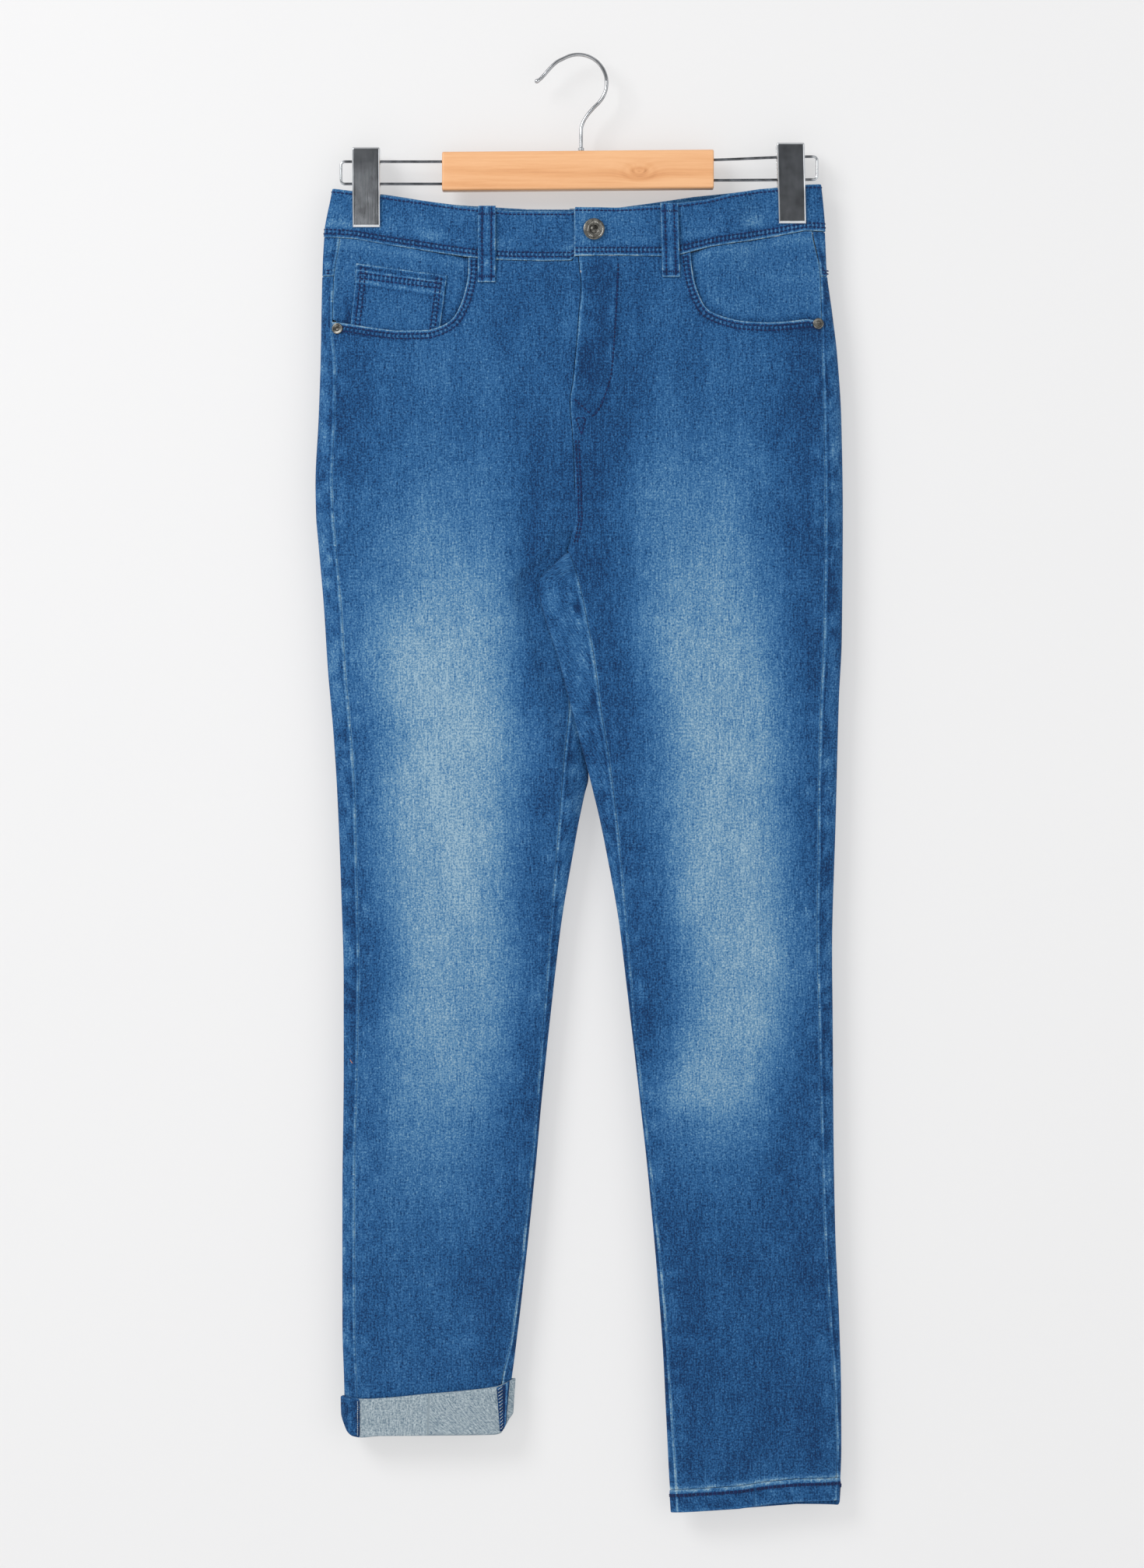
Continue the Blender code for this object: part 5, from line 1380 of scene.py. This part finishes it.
paths, close = [], []
for name, grid in loop_grid.items():
    rows = np.linspace(1, grid.shape[0] - 2, 160)
    for col in (4.0, 10.0):
        paths.append(grid_path(grid, rows, col))
    for row in (5.0, grid.shape[0] - 4.6):
        for k in range(9):
            col = 1.6 + 1.35 * k
            slant = np.linspace(-0.55, 0.55, 5)
            close.append(grid_path(grid, row + slant, col + 0.25 * slant))
sew("stitching_belt_loops", paths)
sew_each("bar_tacks_belt_loops", close, 0.45, navy_thread)

paths = []
for half, grid in back_pocket_grid.items():
    rows, cols = grid.shape[:2]
    last_r, last_c = rows - 1, cols - 1
    for gap in (4.0, 6.3):
        down = np.linspace(gap * 0.4, last_r - gap, 200)
        paths.append(grid_path(grid, down, gap))
        paths.append(grid_path(grid, down, last_c - gap))
        over = np.linspace(gap, last_c - gap, 240)
        paths.append(grid_path(grid, last_r - gap, over))
    over = np.linspace(2, last_c - 2, 240)
    for row in (4.5, 8.3):
        paths.append(grid_path(grid, row, over))
sew("stitching_back_pockets", paths)

paths = []
for half, away in SIDES:
    x = -away * np.linspace(14, 195, 260)
    z = mix(YOKE_MIDDLE_Z, YOKE_SIDE_Z, np.abs(x) / 200)
    for gap in (2.2, 4.6):
        paths.append(panel_path(half, "back", x, z + gap))
for half, x0, x1 in (("right", -202.0, -196.5), ("left", 200.0, 194.5)):
    x = np.linspace(x0, x1, 20)
    for gap in (2.2, 4.6):
        paths.append(panel_path(half, "front", x, YOKE_SIDE_Z + gap + 0 * x))
z = np.linspace(-228, -372, 200)
for gap in (2.2, 4.6):
    paths.append(panel_path("left", "back", curve(RISE["back"], z) + gap, z))
z = np.linspace(-306, -388, 120)
for gap in (2.4, 4.8):
    paths.append(panel_path("left", "front", curve(RISE["front"], z) + gap, z))
sew("stitching_yoke_and_rise", paths)

closed_hem = np.concatenate([hem_ring, hem_ring[:, :1]], axis=1)
cols = np.linspace(0.5, closed_hem.shape[1] - 1.5, 900)
HEM_STITCH_ROW = 3.5
sew("stitching_hem", [grid_path(closed_hem, HEM_STITCH_ROW + shift, cols)
                      for shift in (-0.35, 0.35)], STITCH_PITCH, 3.1)

for name, shade, x, z in (
    ("stray_thread", (196, 116, 66), (-181.6, -180.6, -179.4), (-798.5, -800.4, -801.6)),
    ("white_stitch", (226, 230, 232), (1.9, 2.0, 2.2), (-171.6, -172.7, -173.8)),
):
    half = "right" if x[0] < -5 else "left"
    bit = panel_path(half, "front", np.array(x), np.array(z))
    sew_each(name, [bit], 0.32, thread(name, shade), sink=0.1)

# Overlock: a slanting white row on the outer allowance, and a zigzag across the inner one
outer, inner = allowance["cuff_allowance_outer"], allowance["cuff_allowance_inner"]
slant = np.linspace(0, 1, 5)
white, navy = [], []
for k in range(26):
    row = 0.6 + k * (outer.shape[0] - 2) / 26
    white.append(grid_path(outer, row + 0.5 * slant, 21.2 + 1.3 * slant))
for k in range(52):
    row = 0.6 + k // 2 * (inner.shape[0] - 2) / 26
    first, wide = (10.0, 6.0) if k % 2 else (0.8, 9.0)
    turned = 0.9 * slant * (1 if k // 2 % 2 else -1)
    (navy if (k + 26) % 4 else white).append(grid_path(inner, row + turned, first + wide * slant))
sew_each("overlock_white", white, 0.26, pale_thread, sink=0.15, slot="denim_reverse")
sew_each("overlock_navy", navy, 0.26, navy_thread, sink=0.15, slot="denim_reverse")

# Button and rivets: pressed metal with an antique nickel finish. The button has a knurled ring
# round a hollow centre, and each rivet a raised ring round its nub. Both are plain.


def metal(name, shade, rough, wear, scale=90.0, bevel=None):
    """Metal with fine scratches and a cloudy tarnish, from stretched and even noise.

    Where bevel gives a shade, the attribute of that name mixes it in as a painted rim highlight.
    """
    material, tree, shader = new_material(name)
    place = on_object(tree)
    drawn = shifted(tree, place, Scale=(scale * 14, scale * 14, scale), Rotation=(0.3, 0.5, 0.2))
    scratch = noise(tree, drawn, 1.0, 3.0)
    tint = shaded(tree, noise(tree, place, scale * 3, 3.0),
                  [(0.3, [s * wear for s in shade]), (0.65, shade)])
    if bevel:
        rim = node(tree, "Attribute", attribute_name="bevel").outputs["Fac"]
        tint = node(tree, "Mix", {"Factor": rim, "A": tint, "B": colour(*bevel)},
                    data_type="RGBA").outputs["Result"]
    dull = node(tree, "MapRange", {"Value": scratch, "To Min": rough * 0.7,
                                   "To Max": rough * 1.4}).outputs[0]
    feed(tree, shader, {"Base Color": tint, "Metallic": 1.0, "Roughness": dull,
                        "Normal": bumps(tree, scratch, 0.15, 0.0002)})
    return material


def loft(name, rings, material, replaced, marks=None):
    """A closed solid through rings of points, its two ends closed with strips."""
    rings = np.asarray(rings, float)
    number = np.arange(rings.shape[0] * rings.shape[1]).reshape(rings.shape[:2])
    quads = tube_quads(number)
    return new_piece(name, rings.reshape(-1, 3), quads, material, replaced, marks or {})


nickel = metal("antique_nickel", (132, 130, 124), 0.3, 0.42)

# Profiles: share of the radius, height
BUTTON = [(0.3, 0.1), (0.3, 1), (0.86, 1.25), (0.97, 1.6), (1, 2.1), (0.99, 2.5), (0.95, 2.75),
          (0.9, 2.85), (0.86, 2.8), (0.83, 2.6), (0.8, 2.45), (0.74, 2.42), (0.68, 2.42),
          (0.62, 2.45), (0.58, 2.5), (0.55, 2.75), (0.5, 2.95), (0.44, 2.9), (0.4, 2.7),
          (0.37, 2.2), (0.34, 1.7), (0.28, 1.6), (0.24, 1.7), (0.2, 2), (0.15, 2.1), (0.05, 2.12)]
RIVET = [(0.94, 0.14), (1, 0.4), (1, 0.7), (0.96, 0.95), (0.88, 1.1), (0.78, 1.1), (0.66, 0.95),
         (0.56, 0.85), (0.48, 0.92), (0.42, 1.2), (0.36, 1.5), (0.28, 1.62), (0.18, 1.5),
         (0.05, 1.45)]
for name, x, z, radius, profile, lift in (
    ("tack_button", 12.4, -139.2, 8.5, BUTTON, LAP_RISE),
    ("rivet_right", -191.4, -217.6, 4.4, RIVET, 0.3),
    ("rivet_left", 190.6, -213.6, 4.4, RIVET, 0.3),
):
    half = "right" if x < 0 else "left"
    proud = -BAND_PROUD if name == "tack_button" else 0.0
    spot = surface(half, "front", np.array([x, x + 2, x - 2]), np.array([z, z, z]), proud)
    slope = (spot[1, 1] - spot[2, 1]) / (spot[1, 0] - spot[2, 0])
    out = np.array([slope, -1.0, 0.0]) / np.hypot(slope, 1.0)
    side = np.array([1.0, slope, 0.0]) / np.hypot(slope, 1.0)
    profile = np.array(profile)
    steps = np.hypot(*np.diff(profile, axis=0).T * [[radius], [1]])
    reach = np.concatenate([[0], np.cumsum(steps)])
    fine = np.linspace(0, reach[-1], 64)
    share, height = (np.interp(fine, reach, profile[:, k]) for k in (0, 1))
    turn = np.linspace(0, 2 * np.pi, 120, endpoint=False)
    knurl = bell(share - 0.69, 0.09) * (fine > reach[-1] * 0.3) * (name == "tack_button")
    height = height[:, None] + 0.16 * knurl[:, None] * np.cos(turn * 30)
    circle = np.cos(turn)[:, None] * side + np.sin(turn)[:, None] * np.array([0, 0, 1.0])
    rings = spot[0] + (lift + height)[..., None] * out + radius * share[:, None, None] * circle
    loft(name + "_metal", rings, nickel, [name])

# Hook: chromed steel rod bent to a hook, with a small ball formed at its tip and a collar where
# it enters the bar.

HOOK_WIRE = 1.5
HOOK_RADIUS = 22.6
HOOK_STEM = [(16.4, -36.8), (12.2, -41), (7.4, -46.6), (3.8, -52.6), (2.3, -58), (2.2, -64),
             (2.2, -72.6)]
HOOK_TIP = [(-34.7, -20.7), (-33.6, -20.2), (-31.4, -18.9), (-28, -15.7), (-24.4, -11.6),
            (-20.6, -7.5), (-16.6, -4.1)]
chrome = metal("chromed_steel", (196, 198, 201), 0.10, 0.8, 40.0)


def rod(name, line, radii, sides, step, material, replaced, painted_highlight_from=1000.0):
    """A round rod: circles carried along a smooth line in the plane y = 0, one radius a place.

    Its bevel mark, a painted highlight, rises softly from 0 to 1 over 3 mm past its last argument.
    """
    line, radii = np.asarray(line, float), np.asarray(radii, float)
    reach = run(line)
    fine = np.linspace(0, reach[-1], int(reach[-1] / step))
    x, z = (curve(list(zip(reach, line[:, k])), fine) for k in (0, 1))
    wide = curve(list(zip(reach, radii)), fine)
    dx, dz = np.gradient(x), np.gradient(z)
    long = np.hypot(dx, dz)
    turn = np.linspace(0, 2 * np.pi, sides, endpoint=False)
    across = np.stack([-dz / long, 0 * dx, dx / long], axis=-1)
    rings = np.stack([x, 0 * x, z], axis=-1)[:, None] + wide[:, None, None] * (
        np.cos(turn)[:, None] * across[:, None] + np.sin(turn)[:, None] * np.array([0, 1.0, 0]))
    # painted highlight: 1 on the end bends, past the given distance in x
    painted_highlight = soft((np.abs(rings[..., 0]) - painted_highlight_from) / 3).reshape(-1)
    return loft(name, rings, material, replaced, {"bevel": painted_highlight})


angle = np.radians(np.linspace(119, -32, 40))
bend = np.stack([HOOK_RADIUS * np.cos(angle),
                 HOOK_WIRE - HOOK_RADIUS + HOOK_RADIUS * np.sin(angle)], axis=1)
tip = np.array(HOOK_TIP)
ball = np.linspace(tip[0], tip[2], 7)
line = np.concatenate([ball, tip[3:], bend, HOOK_STEM, [(2.2, -72.75), (2.2, -75.5)]])
radii = np.full(len(line), HOOK_WIRE)
radii[:7] = (0.35, 1.3, 1.75, 1.9, 1.85, 1.7, 1.5)
radii[-2:] = 2.4
rod("hook_metal", line, radii, 24, 0.5, chrome, ["hook"])

# Hanger bar: a planed block of pale beech with eased edges and one small knot, oiled. The hook
# and the wire loops are set in it.


def wood(name, knot):
    """Planed wood: long streaks down the grain, pores, and rings that bend round one knot."""
    material, tree, shader = new_material(name)
    place = on_object(tree)
    moved = shifted(tree, place, Location=tuple(-k for k in knot))
    oval = shifted(tree, moved, Scale=(0.55, 0.6, 1.0))
    far = node(tree, "VectorMath", {0: oval}, operation="LENGTH").outputs["Value"]
    near = node(tree, "MapRange", {"Value": far, "From Min": 0.0, "From Max": 0.016,
                                   "To Min": 1.0, "To Max": 0.0}).outputs[0]
    bent = math(tree, "POWER", near, 3.0)
    split = node(tree, "SeparateXYZ", {0: place}).outputs
    up = math(tree, "MULTIPLY_ADD", bent, 0.012, split["Z"])
    grained = node(tree, "CombineXYZ", {"X": split["X"], "Y": split["Y"], "Z": up}).outputs[0]
    broad, fine, pore = (
        noise(tree, shifted(tree, grained, Scale=size, Location=(seed, seed, seed)), 1.0, detail)
        for size, detail, seed in (((6, 120, 150), 3.0, 1.3), ((24, 700, 900), 3.0, 4.1),
                                   ((160, 1500, 2600), 1.0, 6.4)))
    tone = math(tree, "MULTIPLY_ADD", fine, 0.45, broad)
    tone = math(tree, "MULTIPLY_ADD", pore, 0.18, tone)
    ring = math(tree, "MULTIPLY", math(tree, "SINE", math(tree, "MULTIPLY", far, 1500.0)), bent)
    tone = math(tree, "MULTIPLY_ADD", ring, 0.22, tone)
    tone = math(tree, "MULTIPLY_ADD", bent, -0.5, tone)
    tint = shaded(tree, tone, [(0.15, (136, 74, 36)), (0.5, (213, 150, 98)),
                               (0.72, (224, 164, 113)), (1.0, (233, 179, 130))])
    feed(tree, shader, {"Base Color": tint, "Roughness": 0.42, "Coat Weight": 0.15,
                        "Coat Roughness": 0.3, "Normal": bumps(tree, tone, 0.12, 0.0006)})
    return material


BAR_DEPTH, BAR_HALF = 13.0, 15.45
corner = np.radians(np.linspace(0, 90, 9))
EDGE_ROUND = 2.2
outline = np.concatenate([
    np.stack([sy * (BAR_DEPTH / 2 - EDGE_ROUND) + EDGE_ROUND * np.cos(corner + first),
              sz * (BAR_HALF - EDGE_ROUND) + EDGE_ROUND * np.sin(corner + first)], axis=1)
    for sy, sz, first in ((1, 1, 0), (-1, 1, np.pi / 2), (-1, -1, np.pi), (1, -1, 1.5 * np.pi))])
BAR_ENDS, EASING = (-108.4, 107.8), 1.2
ease = EASING * (1 - np.sin(np.radians(np.linspace(0, 90, 7))))
stations = np.concatenate([BAR_ENDS[0] + ease[::-1], np.linspace(-104, 104, 53),
                           BAR_ENDS[1] - ease])
past = np.clip(np.abs(stations + 0.3) - 106.9, 0, EASING) / EASING
rings = []
for x, eased in zip(stations, EASING - EASING * np.sqrt(1 - past ** 2)):
    scale = 1 - eased / np.array([BAR_DEPTH / 2, BAR_HALF])
    rings.append(np.stack([np.full(len(outline), x), outline[:, 0] * scale[0],
                           -91.2 + 0.0083 * x + outline[:, 1] * scale[1]], axis=1))
beech = wood("oiled_beech", (0.0484, -0.0065, -0.0925))
loft("hanger_bar_wood", rings, beech, ["hanger_bar"])

# Wire loops: one bent at each end of the bar, in a copy of chrome painted darker to stand in for
# dark reflections. The clips slide on them, and their end bends carry a painted highlight.

WIRE_RADIUS, WIRE_BEND = 1.1, 3.0
# a copy of chrome painted darker for dark reflections; its bevel shade is a painted highlight
chrome_painted_dark = metal("chrome_painted_dark", (128, 131, 136), 0.14, 0.6, 60.0, (208, 211, 214))
for name, x_in, x_out, high_in, high_out, low_in, low_out in (
    ("wire_right", -108.6, -189.1, -83.8, -83.8, -101.5, -101.5),
    ("wire_left", 108.0, 190.3, -82.4, -79.8, -98.6, -98.0),
):
    bend = np.radians(np.linspace(90, 0, 8))
    turned = x_out + np.sign(x_out) * WIRE_BEND * (np.cos(bend) - 1)
    drop = WIRE_BEND * (np.sin(bend) - 1)
    top = list(zip(turned, high_out + drop))
    low = list(zip(turned[::-1], low_out - drop[::-1]))
    line = [(x_in, high_in)] + top + low + [(x_in, low_in)]
    rod(name + "_metal", line, np.full(len(line), WIRE_RADIUS), 16, 0.8, chrome_painted_dark,
        [name], 185.0)

# Clips: two pressed and polished steel plates each, closed on the waistband, with a runner on
# the wires between them. Their long edges are turned in and rounded, with a painted highlight.

CLIP_WIDTH, CLIP_SHEET = 22.3, 0.8
# the bevel shade (250, 251, 252) is a painted highlight for the plates' rims
polished = metal("polished_steel", (212, 215, 219), 0.11, 0.8, 30.0, (250, 251, 252))
for half, x_top, x_foot, z_top, z_foot in (("right", -168.8, -168.6, -73.4, -136.6),
                                           ("left", 168.7, 170.4, -69.8, -133.6)):
    for face, sign in (("front", -1.0), ("back", 1.0)):
        wide, deep = CLIP_WIDTH / 2, 3.6
        down = np.concatenate([np.linspace(0, 0.03, 6), np.linspace(0.05, 0.95, 40),
                               np.linspace(0.97, 1, 6)])
        outside, inside = [], []
        for layer, rows in ((0.0, outside), (CLIP_SHEET, inside)):
            for part in down:
                out = 9.5 * (1 - part) + 5.2 * part - layer
                out -= 0.9 * (1 - soft(min(part, 1 - part) / 0.025))
                w, r = wide - layer, 1.5 - layer * 0.6
                bevel = np.radians(np.linspace(180, 90, 7))
                left = np.stack([-w + r + r * np.cos(bevel), out - r + r * np.sin(bevel)], axis=1)
                edge = np.linspace(deep, out - r - 0.1, 4)
                left = np.concatenate([np.stack([np.full(4, -w), edge], axis=1), left])
                flat = np.linspace(-w + r + 0.8, w - r - 0.8, 15)
                flat = np.stack([flat, np.full(15, out)], axis=1)
                shape = np.concatenate([left, flat, left[::-1] * [-1, 1]])
                x, z = mix(x_top, x_foot, part), mix(z_top, z_foot, part)
                rows.append(np.stack([x + shape[:, 0], sign * shape[:, 1],
                                      np.full(len(shape), z)], axis=1))
        outside, inside = np.array(outside), np.array(inside)
        name = "clip_" + face + "_" + half
        top, low, rim, rings = half_circle_rim(outside, inside)
        wide_mm = np.abs(shape[:, 0])[None, :]
        from_end = np.minimum(down, 1 - down)[:, None] * np.hypot(z_top - z_foot, 4.3)
        rim_far = np.minimum(wide - wide_mm, from_end)
        # painted highlight: brighter metal along the rims, less a thin painted dark line further in
        painted_rim_highlight = np.clip(1.25 - rim_far / 1.3, 0, 1) - 0.5 * bell(rim_far - 2.3, 0.35)
        painted_rim_highlight = painted_rim_highlight.reshape(-1)
        painted_rim_highlight = np.concatenate([painted_rim_highlight, painted_rim_highlight] + [painted_rim_highlight[rim]] * 3)
        new_piece(name + "_metal", np.concatenate([top, low] + rings),
                  wall_quads(rim, *outside.shape[:2]), polished, [name],
                  {"bevel": painted_rim_highlight})
    high, low = (-85.05, -100.25) if half == "right" else (-82.6, -97.0)
    rings = []
    turn = np.radians(np.arange(0, 360, 10))
    for side in np.linspace(-9.6, 9.6, 13):
        squeeze = 1 - 0.12 * soft((abs(side) - 8.6) / 1.0)
        lift = 0.012 * side if half == "left" else 0.0
        x = (x_top + x_foot) / 2 + side
        round_y = 3.4 * np.sign(np.cos(turn)) * np.abs(np.cos(turn)) ** 0.4 * squeeze
        round_z = (high - low) / 2 * np.sign(np.sin(turn)) * np.abs(np.sin(turn)) ** 0.3 * squeeze
        rings.append(np.stack([np.full(len(turn), x), round_y,
                               (high + low) / 2 + lift + round_z], axis=1))
    loft("clip_runner_" + half + "_metal", rings, chrome, ["clip_runner_" + half])
